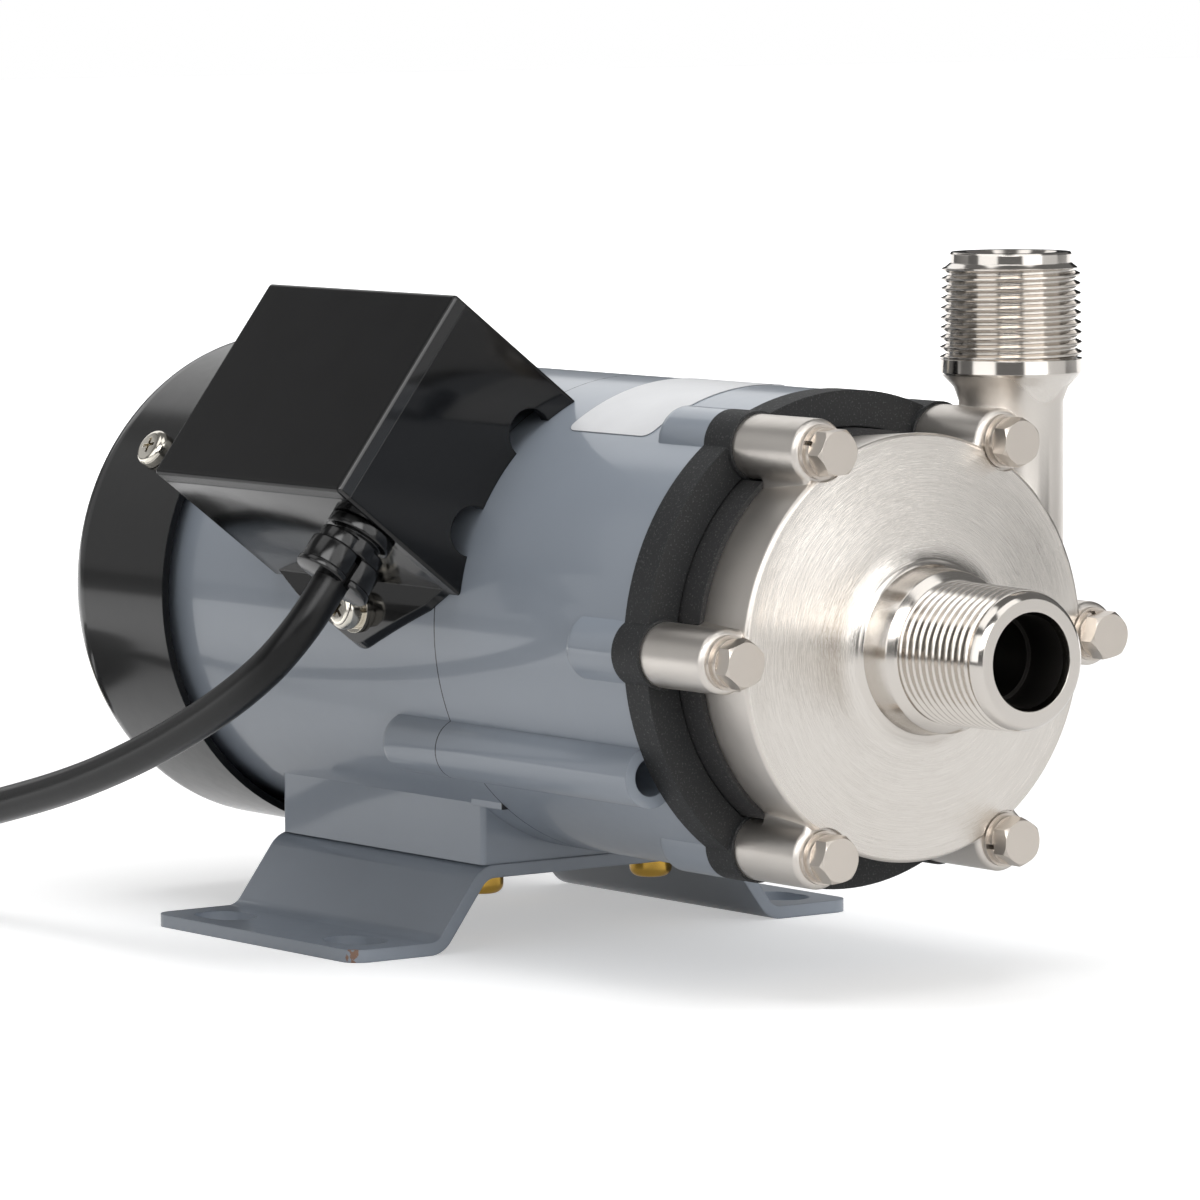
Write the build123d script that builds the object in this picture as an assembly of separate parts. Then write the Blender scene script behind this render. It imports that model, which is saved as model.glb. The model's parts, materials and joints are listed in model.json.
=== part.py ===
from build123d import *
import math
import os

# Magnetic drive pump: a stainless pump head, driven through a can by a small induction motor.
# Millimetres, +Z up. The origin is on the floor, at the centre of the four foot holes.
# +X runs along the shaft towards the inlet, and +Y towards the side of the outlet.

# Clearances
FIT = 0.05
RUNNING_FIT = 0.05
AIR_GAP = 0.3
END_PLAY = 0.4

# Shaft line and motor housings
SHAFT_HEIGHT = 63.5
MOTOR_R = 46.0
MOTOR_WALL = 3.0
SPLIT_X = 42.5
REAR_HOUSING_LENGTH = 108.5
FRONT_HOUSING_LENGTH = 60.5
END_WALL = 9.0
PARTITION_WALL = 2.5
PARTITION_FROM_SPLIT = 11.5
REGISTER_DEPTH = 2.0
REGISTER_WALL = 1.4
BEARING_HUB_WALL = 4.5
SHAFT_PASSAGE_R = 6.8

# Tie bolts of the housings, in ridges low on both sides
TIE_CIRCLE_R = 46.4
TIE_ANGLE = 30.0
TIE_RIDGE_R = 5.8
TIE_HEAD_HOLE_R = 3.6
TIE_HEAD_R = 3.4
TIE_HEAD_HEIGHT = 4.0
TIE_BOLT_R = 2.0
TIE_HOLE_R = 2.2
TIE_HEAD_SEAT = 13.5
TIE_RIDGE_BEHIND = 19.1
TIE_THREAD_LENGTH = 14.5

# Six bolts hold head, rear casing and bracket to the front housing
BOLT_COUNT = 6
BOLT_CIRCLE_R = 42.6
BOLT_R = 2.5
BOLT_HOLE_R = 2.75
BOLT_LENGTH = 40.0
BOLT_FLATS = 8.0
BOLT_HEAD_HEIGHT = 3.5
BOLT_TURNS = (12.0, 25.0, 4.0, 20.0, 10.0, 28.0)
FLAT_WASHER_R = 5.0
FLAT_WASHER_THICKNESS = 1.0
SPRING_WASHER_R = 4.5
SPRING_WASHER_THICKNESS = 1.3
WASHER_SLIT = 0.9
HOUSING_BOSS_R = 6.5
HOUSING_BOSS_LENGTH = 15.5
HOUSING_BOSS_HOLE = 13.0

# Bracket ring between motor and pump
BRACKET_R = 46.3
BRACKET_LENGTH = 7.0
BRACKET_BORE_R = 37.0
BRACKET_RECESS = 2.0
BRACKET_EAR_R = 6.5
BRACKET_EAR_LENGTH = 8.0
BRACKET_SPIGOT_WALL = 3.0
BRACKET_SPIGOT_LENGTH = 3.0

# Rear casing with its can
CASING_R = 39.3
CASING_RIM_LENGTH = 8.1
CASING_RIM_INNER_R = 34.0
CASING_PLATE = 4.0
CAN_WALL = 1.5
CAN_INNER_R = 22.0
CAN_DEPTH = 29.1
CAN_END_WALL = 3.0
SOCKET_WALL = 3.5
SOCKET_HEIGHT = 3.0
SOCKET_DEPTH = 4.5
NOTCH_GAP = 0.2
O_RING_CENTRE_R = 33.4
O_RING_SECTION_R = 0.85
O_RING_GROOVE_WIDTH = 2.1

# Pump head
HEAD_BACK_R = 38.3
HEAD_RIM_R = 39.4
HEAD_LENGTH = 14.2
HEAD_BOSS_R = 6.0
HEAD_BOSS_LENGTH = 18.2
HEAD_BOSS_EDGE = 1.2
HEAD_WEB_FILLET = 2.8
HEAD_WEB_SINK = 0.6
SPOT_FACE_R = 5.5
HEAD_FACE_RISE = 2.2
HEAD_FACE_INNER_R = 21.5
HEAD_FRONT_WALL = 2.3
CHAMBER_R = 31.0
THROAT_R = 10.5
THROAT_LENGTH = 8.0
RIB_COUNT = 3
RIB_WIDTH = 2.0
RIB_LENGTH = 4.0
SPIDER_R = 6.0
SPIDER_LENGTH = 9.0
INLET_BORE_R = 8.2
INLET_STEP_R = 7.4
INLET_STEP_DEPTH = 9.0
INLET_CHAMFER = 0.8
NECK_RING_R = 16.9
NECK_RING_RISE = 3.9
NECK_R = 14.6
NECK_LENGTH = 5.3
NECK_CHAMFER = 3.1
THREAD_R = 13.22
THREAD_TIP_R = 12.9
THREAD_LENGTH = 16.6
INLET_TIP_R = 11.4
INLET_TIP_LENGTH = 2.8

# Outlet that stands up from the far side of the head
OUTLET_FROM_SEAT = 4.4
OUTLET_Y = 30.5
OUTLET_PIPE_R = 9.7
OUTLET_BORE_R = 8.0
OUTLET_BORE_LENGTH = 24.0
PASSAGE_R = 6.0
PASSAGE_SHIFT = 1.0
OUTLET_TOP = 71.2
OUTLET_TIP_R = 11.6
OUTLET_TIP_LENGTH = 4.3
OUTLET_THREAD_LENGTH = 15.4
OUTLET_COLLAR_LENGTH = 2.5
OUTLET_FLARE_LENGTH = 5.5
PASSAGE_WALL = 1.4

# Impeller and the driven magnet behind it
SPINDLE_R = 4.0
BUSH_WALL = 3.0
THRUST_RING_R = 8.0
THRUST_RING_THICKNESS = 1.4
MAGNET_SKIN = 0.8
MAGNET_SLEEVE_R = 9.0
DRIVEN_MAGNET_GAP = 0.9
IMPELLER_R = 29.0
IMPELLER_DISC = 2.2
IMPELLER_FROM_SEAT = 0.7
VANE_COUNT = 6
VANE_THICKNESS = 1.8
VANE_HEIGHT = 7.4
VANE_EYE_R = 11.0
VANE_CURVE_R = 17.0

# Motor shaft, rotor and drive magnets
SHAFT_BEARING_R = 6.0
SHAFT_CORE_R = 7.5
SHAFT_END_R = 5.0
SHAFT_FRONT_END = 39.5
SHAFT_REAR_OUT = 15.0
ROTOR_R = 21.7
ROTOR_RING_R = 19.5
ROTOR_RING_LENGTH = 4.0
CORE_BACK_X = -12.0
CORE_LENGTH = 52.0
WINDING_LENGTH = 11.0
WINDING_R = 40.0
WINDING_INNER_R = 25.0
DRIVE_HUB_R = 11.0
DRIVE_HUB_LENGTH = 7.5
DRIVE_PLATE = 4.0
DRIVE_CUP_R = 35.0
DRIVE_CUP_WALL = 5.0
DRIVE_CUP_LENGTH = 24.0
DRIVE_MAGNET_COUNT = 8
DRIVE_MAGNET_THICKNESS = 4.0
DRIVE_MAGNET_LENGTH = 20.0
DRIVE_MAGNET_SPAN = 38.0
SET_SCREW_R = 2.0
SET_SCREW_LENGTH = 5.5

# Ball bearings
BEARING_R = 16.0
BEARING_WIDTH = 10.0
BEARING_OUTER_INNER_R = 13.4
BEARING_INNER_OUTER_R = 8.7
BALL_R = 2.7
BALL_COUNT = 7
GROOVE_R = 3.1
WAVE_WASHER = 1.2

# Cooling fan and its cover
FAN_R = 42.0
FAN_HUB_R = 9.0
FAN_LENGTH = 11.0
FAN_DISC = 1.5
FAN_DISC_R = 30.0
FAN_BLADES = 8
FAN_BLADE_THICKNESS = 1.6
FAN_FROM_HOUSING = 2.5
FAN_CLIP_THICKNESS = 1.0
FAN_CLIP_R = 7.0
COVER_R = 49.6
COVER_WALL = 1.5
COVER_LENGTH = 37.5
COVER_BEHIND = 18.0
COVER_CORNER_R = 8.5
GRILLE_RINGS = 4
GRILLE_INNER_R = 10.0
GRILLE_SLOT = 3.6
GRILLE_BAR = 3.2
GRILLE_SPOKE = 4.0
COVER_SCREW_ANGLES = (26.0, 146.0, 266.0)
COVER_SCREW_FROM_END = 5.5
COVER_LUG_R = 4.5
COVER_SCREW_R = 2.0
COVER_SCREW_HEAD_R = 3.9
COVER_SCREW_HEAD = 2.8
COVER_SCREW_LENGTH = 9.0

# Terminal box on the near side, tilted up from the horizontal
BOX_TILT = 37.5
BOX_BACK_X = -12.5
BOX_LENGTH = 63.0
BOX_WIDTH = 44.8
BOX_TOP = 75.0
BOX_WALL = 2.2
BOX_LID = 3.0
BOX_EDGE = 0.8
BOX_SEAT_GAP = 0.05
BOX_NOTCH_R = 4.8
BOX_NOTCH_FROM_MIDDLE = 11.2
BOX_NOTCH_HEIGHT = 45.3
TAB_THICKNESS = 1.6
TAB_REACH = 13.5
TAB_TIP_R = 7.0
TAB_SCREW_X = 19.0
TAB_SCREW_ANGLE = 34.9
BOX_SCREW_R = 2.0
BOX_SCREW_LENGTH = 6.1
BOX_SCREW_HEAD_R = 3.9
BOX_SCREW_HEAD = 2.8
BOX_FLAT_WASHER_R = 4.6
BOX_FLAT_WASHER = 0.8
BOX_SPRING_WASHER_R = 3.8
BOX_SPRING_WASHER = 1.0
LID_SKIRT = 4.0
LID_SKIRT_WALL = 1.6
BLOCK_SIZE = (30.0, 12.0, 11.0)
CAPACITOR_R = 8.0
CAPACITOR_LENGTH = 42.0

# Strain relief in the lower wall of the box
RELIEF_X = 43.0
RELIEF_HEIGHT = 61.5
RELIEF_COLLAR_R = 6.6
RELIEF_COLLAR = 2.2
RELIEF_NECK_R = 4.9
RELIEF_LOBE_R = 5.0
RELIEF_LOBE_SPREAD = 2.8
RELIEF_LENGTH = 12.0
RELIEF_SPLIT = 1.0

# Foot plate, pedestal and foot screws
FOOT_LENGTH = 70.0
FOOT_WIDTH = 120.0
SHEET = 2.5
FOOT_RISE = 13.8
FOOT_TOP_HALF = 28.8
FOOT_TOE_HALF = 39.2
BEND_R = 3.5
FOOT_CORNER_R = 4.0
FOOT_HOLE_X = 45.0
FOOT_HOLE_Y = 102.0
FOOT_HOLE_R = 5.0
FOOT_SLOT = 14.2
PEDESTAL_LENGTH = 68.8
PEDESTAL_WIDTH = 58.8
PEDESTAL_EDGE = 1.0
PEDESTAL_WALL = 4.5
PEDESTAL_POCKET = 9.0
PEDESTAL_LIP = 1.3
PEDESTAL_LIP_REACH = 1.2
FOOT_SCREW_X = 42.6
FOOT_SCREW_Y = 40.8
FOOT_SCREW_R = 2.5
FOOT_SCREW_HOLE_R = 2.75
FOOT_SCREW_HEAD_R = 4.2
FOOT_SCREW_HEAD = 3.6
FOOT_SCREW_LENGTH = 11.0
FOOT_WASHER_R = 4.4
FOOT_WASHER = 1.2

# Power cord: the points of its route, chosen by hand, from the strain relief to the coil
CORD_R = 3.5
CORD_ROUTE = [
    (43.0, -72.7, 69.6),
    (39.6, -77.1, 62.1),
    (33.2, -79.3, 56.0),
    (18.5, -79.8, 48.1),
    (-5.0, -80.0, 38.3),
    (-32.0, -80.0, 29.5),
    (-62.0, -80.3, 22.2),
    (-93.0, -83.0, 15.2),
    (-117.0, -88.5, 8.0),
    (-140.0, -95.5, 3.5),
]
CORD_RADIUS_SHARE = 0.45
CORD_IN_RELIEF = 5.0
COIL_CENTRE = (-196.0, -66.0)
COIL_R = 48.5
COIL_ACROSS = 21.0
COIL_HEIGHT = 13.4
COIL_EDGE = 3.0
COIL_LEAD_IN = 27.0
COIL_LEAD_OUT = 27.0
TIE_BAND = 1.2
TIE_WIDTH = 6.0
PLUG_LENGTH = 24.0
PLUG_WIDTH = 25.0
PLUG_EDGE = 4.0
PLUG_TAIL = 10.0
PLUG_TAIL_R = 7.0
BLADE_SPACING = 12.7
BLADE_WIDTH = 6.3
BLADE_THICKNESS = 1.5
BLADE_LENGTH = 17.0
BLADE_RISE = 4.9
EARTH_PIN_R = 2.4
EARTH_PIN_LENGTH = 20.0
EARTH_PIN_DROP = 7.0

# Stations along the shaft, worked out from the sizes above
HOUSING_END = SPLIT_X - REAR_HOUSING_LENGTH
BRACKET_SEAT = SPLIT_X + FRONT_HOUSING_LENGTH
BRACKET_FACE = BRACKET_SEAT + BRACKET_LENGTH
EAR_FRONT = BRACKET_SEAT + BRACKET_EAR_LENGTH
CASING_BACK = BRACKET_FACE - BRACKET_RECESS
HEAD_SEAT = CASING_BACK + CASING_RIM_LENGTH
BOSS_FRONT = EAR_FRONT + HEAD_BOSS_LENGTH
HEAD_RIM = HEAD_SEAT + HEAD_LENGTH
CHAMBER_FRONT = HEAD_RIM - HEAD_FRONT_WALL
NECK_RING = HEAD_RIM + NECK_RING_RISE
NECK_FRONT = NECK_RING + NECK_LENGTH
THREAD_BACK = NECK_FRONT + NECK_CHAMFER
THREAD_FRONT = THREAD_BACK + THREAD_LENGTH
INLET_FACE = THREAD_FRONT + INLET_TIP_LENGTH
CAN_FLOOR = HEAD_SEAT - CAN_DEPTH
CAN_END = CAN_FLOOR - CAN_END_WALL
SOCKET_FRONT = CAN_FLOOR + SOCKET_HEIGHT
SPIDER_BACK = CHAMBER_FRONT + RIB_LENGTH - SPIDER_LENGTH
SPINDLE_BACK = SOCKET_FRONT - SOCKET_DEPTH
SPINDLE_FRONT = SPIDER_BACK + SPIDER_LENGTH - PARTITION_WALL
BUSH_BACK = SOCKET_FRONT + THRUST_RING_THICKNESS + END_PLAY
BUSH_FRONT = SPIDER_BACK - THRUST_RING_THICKNESS - END_PLAY
IMPELLER_BACK = HEAD_SEAT + IMPELLER_FROM_SEAT
PARTITION_X = SPLIT_X + PARTITION_FROM_SPLIT
FRONT_BEARING_X = PARTITION_X + PARTITION_WALL
REAR_POCKET_X = HOUSING_END + END_WALL - WAVE_WASHER
REAR_BEARING_X = REAR_POCKET_X + WAVE_WASHER
DRIVE_HUB_BACK = FRONT_BEARING_X + BEARING_WIDTH + 2 * END_PLAY
DRIVE_PLATE_BACK = DRIVE_HUB_BACK + DRIVE_HUB_LENGTH
DRIVE_PLATE_FRONT = DRIVE_PLATE_BACK + DRIVE_PLATE
SHAFT_FRONT = SPLIT_X + SHAFT_FRONT_END
SHAFT_REAR = HOUSING_END - SHAFT_REAR_OUT
FAN_FRONT = HOUSING_END - FAN_FROM_HOUSING
FAN_BACK = FAN_FRONT - FAN_LENGTH
COVER_BACK = HOUSING_END - COVER_BEHIND
COVER_SCREW_X = HOUSING_END + COVER_SCREW_FROM_END
OUTLET_X = HEAD_SEAT + OUTLET_FROM_SEAT
PLATE_TOP = FOOT_RISE + SHEET
TAB_R = MOTOR_R + TAB_THICKNESS

SHAFT_LINE = Axis((0, 0, SHAFT_HEIGHT), (1, 0, 0))
BOX_PLANE = Plane(
    origin=(0, 0, SHAFT_HEIGHT),
    x_dir=(1, 0, 0),
    z_dir=(0, -math.cos(math.radians(BOX_TILT)), math.sin(math.radians(BOX_TILT))),
)
BOX_UP = Axis(BOX_PLANE.origin, BOX_PLANE.z_dir)
BOX_MIDDLE_X = BOX_BACK_X + BOX_LENGTH / 2


def across(x):
    """The plane across the shaft line at station x, with +Y to the right and +Z up."""
    return Plane(origin=(x, 0, SHAFT_HEIGHT), x_dir=(0, 1, 0), z_dir=(1, 0, 0))


def turned(*outline):
    """A piece turned about the shaft line, from its outline of (station, radius) points."""
    return Pos(0, 0, SHAFT_HEIGHT) * revolve(make_face(Polyline(*outline, close=True)), Axis.X)


def tube(x, length, outer_r, inner_r=0.0):
    """A round length along the shaft line that starts at station x, with an optional bore."""
    section = Circle(outer_r)
    if inner_r:
        section -= Circle(inner_r)
    return extrude(across(x) * section, length)


def rods(x, length, r, places):
    """Round lengths along the shaft line, one at each place in the plane across it."""
    return [extrude(across(x) * place * Circle(r), length) for place in places]


def ring_edges(solid, x, r):
    """The round edges about the shaft line at station x with radius r."""
    return [
        edge
        for edge in solid.edges().filter_by(GeomType.CIRCLE)
        if abs(edge.radius - r) < 0.01 and abs(edge.arc_center.X - x) < 0.01
    ]


def outer_face(solid, plane):
    """The face of a piece that lies furthest out along the plane's normal."""
    return solid.faces().sort_by(Axis(plane.origin, plane.z_dir))[-1]


def radial(angle, x, reach):
    """The plane that faces away from the shaft line at this angle and distance."""
    out = (0, math.cos(math.radians(angle)), math.sin(math.radians(angle)))
    centre = (x, out[1] * reach, SHAFT_HEIGHT + out[2] * reach)
    return Plane(origin=centre, x_dir=(1, 0, 0), z_dir=out)


def group(pieces):
    """Separate solids that share one node."""
    return Compound([solid for piece in pieces for solid in piece.solids()])


def split_washer(plane, outer_r, inner_r, thickness):
    """A spring washer with its slit, lying on the plane."""
    section = Circle(outer_r) - Circle(inner_r) - Pos(outer_r, 0) * Rectangle(2 * outer_r, WASHER_SLIT)
    return extrude(plane * section, thickness)


BOLTS = list(PolarLocations(BOLT_CIRCLE_R, BOLT_COUNT))
TIES = [
    Pos(side * TIE_CIRCLE_R * math.cos(math.radians(TIE_ANGLE)),
        -TIE_CIRCLE_R * math.sin(math.radians(TIE_ANGLE)))
    for side in (1, -1)
]


# Pump head

def head_body():
    """The round casting with its face, neck and inlet nozzle, solid inside."""
    body = turned(
        (HEAD_SEAT, 0),
        (HEAD_SEAT, HEAD_BACK_R),
        (HEAD_RIM - 1, HEAD_RIM_R),
        (HEAD_RIM, HEAD_RIM_R),
        (HEAD_RIM, HEAD_RIM_R - 1.4),
        (HEAD_RIM + HEAD_FACE_RISE, HEAD_FACE_INNER_R),
        (NECK_RING, NECK_RING_R),
        (NECK_FRONT, NECK_R),
        (THREAD_BACK, THREAD_R),
        (THREAD_FRONT, THREAD_TIP_R),
        (INLET_FACE, INLET_TIP_R),
        (INLET_FACE, 0),
    )
    body = fillet(ring_edges(body, HEAD_RIM, HEAD_RIM_R), 0.9)
    return fillet(ring_edges(body, HEAD_RIM + HEAD_FACE_RISE, HEAD_FACE_INNER_R), 5.0)


def head_bosses():
    """The six bolt bosses, blended into the round body by webs with hollow fillets."""
    web = Circle(HEAD_BACK_R - HEAD_WEB_SINK) + [place * Circle(HEAD_BOSS_R) for place in BOLTS]
    web = fillet(web.vertices(), HEAD_WEB_FILLET)
    web = extrude(across(HEAD_SEAT) * web, BOSS_FRONT - HEAD_SEAT)
    web = fillet(web.faces().sort_by(Axis.X)[-1].edges(), HEAD_BOSS_EDGE)
    return web + rods(EAR_FRONT, HEAD_SEAT - EAR_FRONT, HEAD_BOSS_R, BOLTS)


def outlet():
    """The outlet pipe with its rounded foot, flare, collar and nozzle, solid inside."""
    foot = SHAFT_HEIGHT
    top = SHAFT_HEIGHT + OUTLET_TOP
    thread_top = top - OUTLET_TIP_LENGTH
    thread_foot = thread_top - OUTLET_THREAD_LENGTH
    collar_foot = thread_foot - OUTLET_COLLAR_LENGTH
    flare_foot = collar_foot - OUTLET_FLARE_LENGTH
    slant = OUTLET_PIPE_R * math.sqrt(0.5)
    dome = ThreePointArc((0, 0, foot - OUTLET_PIPE_R), (slant, 0, foot - slant), (OUTLET_PIPE_R, 0, foot))
    outline = Polyline(
        (OUTLET_PIPE_R, 0, foot),
        (OUTLET_PIPE_R, 0, flare_foot),
        (OUTLET_PIPE_R + 1.0, 0, flare_foot + OUTLET_FLARE_LENGTH / 2),
        (THREAD_R + 0.1, 0, collar_foot),
        (THREAD_R, 0, thread_foot),
        (THREAD_TIP_R, 0, thread_top),
        (OUTLET_TIP_R, 0, top),
        (0, 0, top),
        (0, 0, foot - OUTLET_PIPE_R),
    )
    profile = make_face([*dome.edges(), *outline.edges()])
    return Pos(OUTLET_X, OUTLET_Y, 0) * revolve(profile, Axis.Z)


def outlet_bore():
    """The bore of the nozzle and the narrower cast passage below it."""
    top = SHAFT_HEIGHT + OUTLET_TOP
    bore_foot = top - OUTLET_BORE_LENGTH
    bore = Pos(0, 0, bore_foot) * extrude(Circle(OUTLET_BORE_R), OUTLET_BORE_LENGTH)
    bore += Pos(0, 0, top - INLET_CHAMFER / 2) * Cone(
        OUTLET_BORE_R, OUTLET_BORE_R + INLET_CHAMFER, INLET_CHAMFER)
    passage = Pos(0, PASSAGE_SHIFT, SHAFT_HEIGHT) * extrude(Circle(PASSAGE_R), OUTLET_TOP - OUTLET_BORE_LENGTH)
    return Pos(OUTLET_X, OUTLET_Y, 0) * (bore + passage)


def pump_head():
    """The stainless casting: round body, bosses, inlet on the axis and outlet standing up."""
    casing_room = tube(CASING_BACK, HEAD_SEAT - CASING_BACK, CASING_R + AIR_GAP)
    casting = head_body() + head_bosses() + (outlet() - casing_room)
    chamber = tube(HEAD_SEAT, CHAMBER_FRONT - HEAD_SEAT, CHAMBER_R)
    passage_back = HEAD_SEAT + PASSAGE_WALL
    behind_passage = tube(EAR_FRONT, passage_back - EAR_FRONT, CASING_R + AIR_GAP + PASSAGE_WALL)
    passage = outlet_bore() - behind_passage
    inlet = turned(
        (CHAMBER_FRONT, 0),
        (CHAMBER_FRONT, THROAT_R),
        (CHAMBER_FRONT + THROAT_LENGTH, THROAT_R),
        (CHAMBER_FRONT + THROAT_LENGTH + 3, INLET_STEP_R),
        (INLET_FACE - INLET_STEP_DEPTH, INLET_STEP_R),
        (INLET_FACE - INLET_STEP_DEPTH, INLET_BORE_R),
        (INLET_FACE - INLET_CHAMFER, INLET_BORE_R),
        (INLET_FACE, INLET_BORE_R + INLET_CHAMFER),
        (INLET_FACE, 0),
    )
    casting = casting - chamber - passage - inlet
    casting -= rods(EAR_FRONT, BOSS_FRONT - EAR_FRONT, BOLT_HOLE_R, BOLTS)
    casting -= rods(BOSS_FRONT, BOLT_HEAD_HEIGHT, SPOT_FACE_R, BOLTS)
    ribs = [
        Rot(0, 0, 360 / RIB_COUNT * n + 90) * Pos(THROAT_R / 2 + 0.5, 0) * Rectangle(THROAT_R + 1, RIB_WIDTH)
        for n in range(RIB_COUNT)
    ]
    spider = extrude(across(CHAMBER_FRONT) * (Sketch() + ribs), RIB_LENGTH)
    spider += tube(SPIDER_BACK, SPIDER_LENGTH, SPIDER_R)
    socket = tube(SPIDER_BACK, SPINDLE_FRONT - SPIDER_BACK + FIT, SPINDLE_R + FIT)
    return casting + spider - socket


def head_bolts():
    """Six hexagon head bolts, each turned as it happened to be tightened."""
    seat = BOSS_FRONT + FLAT_WASHER_THICKNESS + SPRING_WASHER_THICKNESS
    bolts = []
    for place, turn in zip(BOLTS, BOLT_TURNS):
        corner_r = BOLT_FLATS / 2 / math.cos(math.radians(30))
        hexagon = RegularPolygon(corner_r, 6)
        head = extrude(across(seat) * place * Rot(0, 0, turn) * hexagon, BOLT_HEAD_HEIGHT)
        cap = across(seat + BOLT_HEAD_HEIGHT / 2) * place
        rounding = cap * Cone(corner_r + 2.6, corner_r - 0.6, BOLT_HEAD_HEIGHT)
        shank = extrude(across(seat - BOLT_LENGTH) * place * Circle(BOLT_R), BOLT_LENGTH)
        bolts.append((head & rounding) + shank)
    return group(bolts)


def head_flat_washers():
    """A flat washer on each boss of the head."""
    section = Circle(FLAT_WASHER_R) - Circle(BOLT_R + FIT)
    return group([
        extrude(across(BOSS_FRONT) * place * section, FLAT_WASHER_THICKNESS) for place in BOLTS
    ])


def head_spring_washers():
    """A spring washer under each bolt head."""
    seat = BOSS_FRONT + FLAT_WASHER_THICKNESS
    return group([
        split_washer(across(seat) * place * Rot(0, 0, turn * 9), SPRING_WASHER_R,
                     BOLT_R + FIT, SPRING_WASHER_THICKNESS)
        for place, turn in zip(BOLTS, BOLT_TURNS)
    ])


# Rear casing and what turns in it

def rear_casing():
    """The ring behind the head, with the can that parts the two magnets."""
    casing = turned(
        (CASING_BACK, CASING_R),
        (HEAD_SEAT, CASING_R),
        (HEAD_SEAT, CAN_INNER_R),
        (CAN_FLOOR, CAN_INNER_R),
        (CAN_FLOOR, SPINDLE_R + SOCKET_WALL),
        (SOCKET_FRONT, SPINDLE_R + SOCKET_WALL),
        (SOCKET_FRONT, SPINDLE_R + FIT),
        (SPINDLE_BACK - FIT, SPINDLE_R + FIT),
        (SPINDLE_BACK - FIT, 0),
        (CAN_END, 0),
        (CAN_END, CAN_INNER_R + CAN_WALL),
        (HEAD_SEAT - CASING_PLATE, CAN_INNER_R + CAN_WALL),
        (HEAD_SEAT - CASING_PLATE, CASING_RIM_INNER_R),
        (CASING_BACK, CASING_RIM_INNER_R),
    )
    casing = fillet(ring_edges(casing, CAN_END, CAN_INNER_R + CAN_WALL), 2.0)
    groove_depth = 2 * (O_RING_SECTION_R + FIT)
    casing -= tube(HEAD_SEAT - groove_depth, groove_depth, O_RING_CENTRE_R + O_RING_GROOVE_WIDTH / 2,
                   O_RING_CENTRE_R - O_RING_GROOVE_WIDTH / 2)
    return casing - rods(CASING_BACK, CASING_RIM_LENGTH, BRACKET_EAR_R + NOTCH_GAP, BOLTS)


def head_o_ring():
    """The seal between the head and the rear casing."""
    centre = HEAD_SEAT - FIT - O_RING_SECTION_R
    return across(centre) * Torus(O_RING_CENTRE_R, O_RING_SECTION_R)


def spindle():
    """The ceramic pin that stands still between the can and the spider of the head."""
    return tube(SPINDLE_BACK, SPINDLE_FRONT - SPINDLE_BACK, SPINDLE_R)


def thrust_rings():
    """Two rings on the spindle that take the impeller's end thrust."""
    return group([
        tube(x, THRUST_RING_THICKNESS, THRUST_RING_R, SPINDLE_R + FIT)
        for x in (SOCKET_FRONT, SPIDER_BACK - THRUST_RING_THICKNESS)
    ])


def vane():
    """One backward curved vane, from the eye to the rim of the impeller."""
    hollow = Circle(VANE_CURVE_R + VANE_THICKNESS) - Circle(VANE_CURVE_R)
    sweep_side = Pos(VANE_EYE_R + VANE_CURVE_R, 0) * hollow
    half_ring = Circle(IMPELLER_R) - Circle(VANE_EYE_R) - Pos(0, IMPELLER_R) * Rectangle(2 * IMPELLER_R, 2 * IMPELLER_R)
    return sweep_side & half_ring


def impeller():
    """The moulded disc with its vanes, and the skin that closes the driven magnet in."""
    skin_r = CAN_INNER_R - DRIVEN_MAGNET_GAP
    disc_front = IMPELLER_BACK + IMPELLER_DISC
    wheel = turned(
        (BUSH_BACK, BUSH_WALL + SPINDLE_R + FIT),
        (BUSH_BACK, skin_r),
        (IMPELLER_BACK, skin_r),
        (IMPELLER_BACK, IMPELLER_R),
        (disc_front, IMPELLER_R),
        (disc_front, MAGNET_SLEEVE_R),
        (BUSH_FRONT, MAGNET_SLEEVE_R),
        (BUSH_FRONT, BUSH_WALL + SPINDLE_R + FIT),
    )
    magnet_room = IMPELLER_BACK - BUSH_BACK - MAGNET_SKIN
    wheel -= tube(BUSH_BACK + MAGNET_SKIN, magnet_room, skin_r - MAGNET_SKIN, MAGNET_SLEEVE_R)
    for n in range(VANE_COUNT):
        turn = Rot(0, 0, 360 / VANE_COUNT * n)
        wheel += extrude(across(disc_front) * turn * vane(), VANE_HEIGHT)
    return wheel


def driven_magnet():
    """The magnet ring closed in behind the impeller."""
    room = IMPELLER_BACK - BUSH_BACK - MAGNET_SKIN
    outer_r = CAN_INNER_R - DRIVEN_MAGNET_GAP - MAGNET_SKIN - FIT
    return tube(BUSH_BACK + MAGNET_SKIN + FIT, room - 2 * FIT, outer_r, MAGNET_SLEEVE_R + FIT)


def impeller_bush():
    """The carbon bush that runs on the spindle."""
    inner_r = SPINDLE_R + RUNNING_FIT
    return tube(BUSH_BACK, BUSH_FRONT - BUSH_BACK, SPINDLE_R + BUSH_WALL, inner_r)


# Bracket and motor housings

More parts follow.
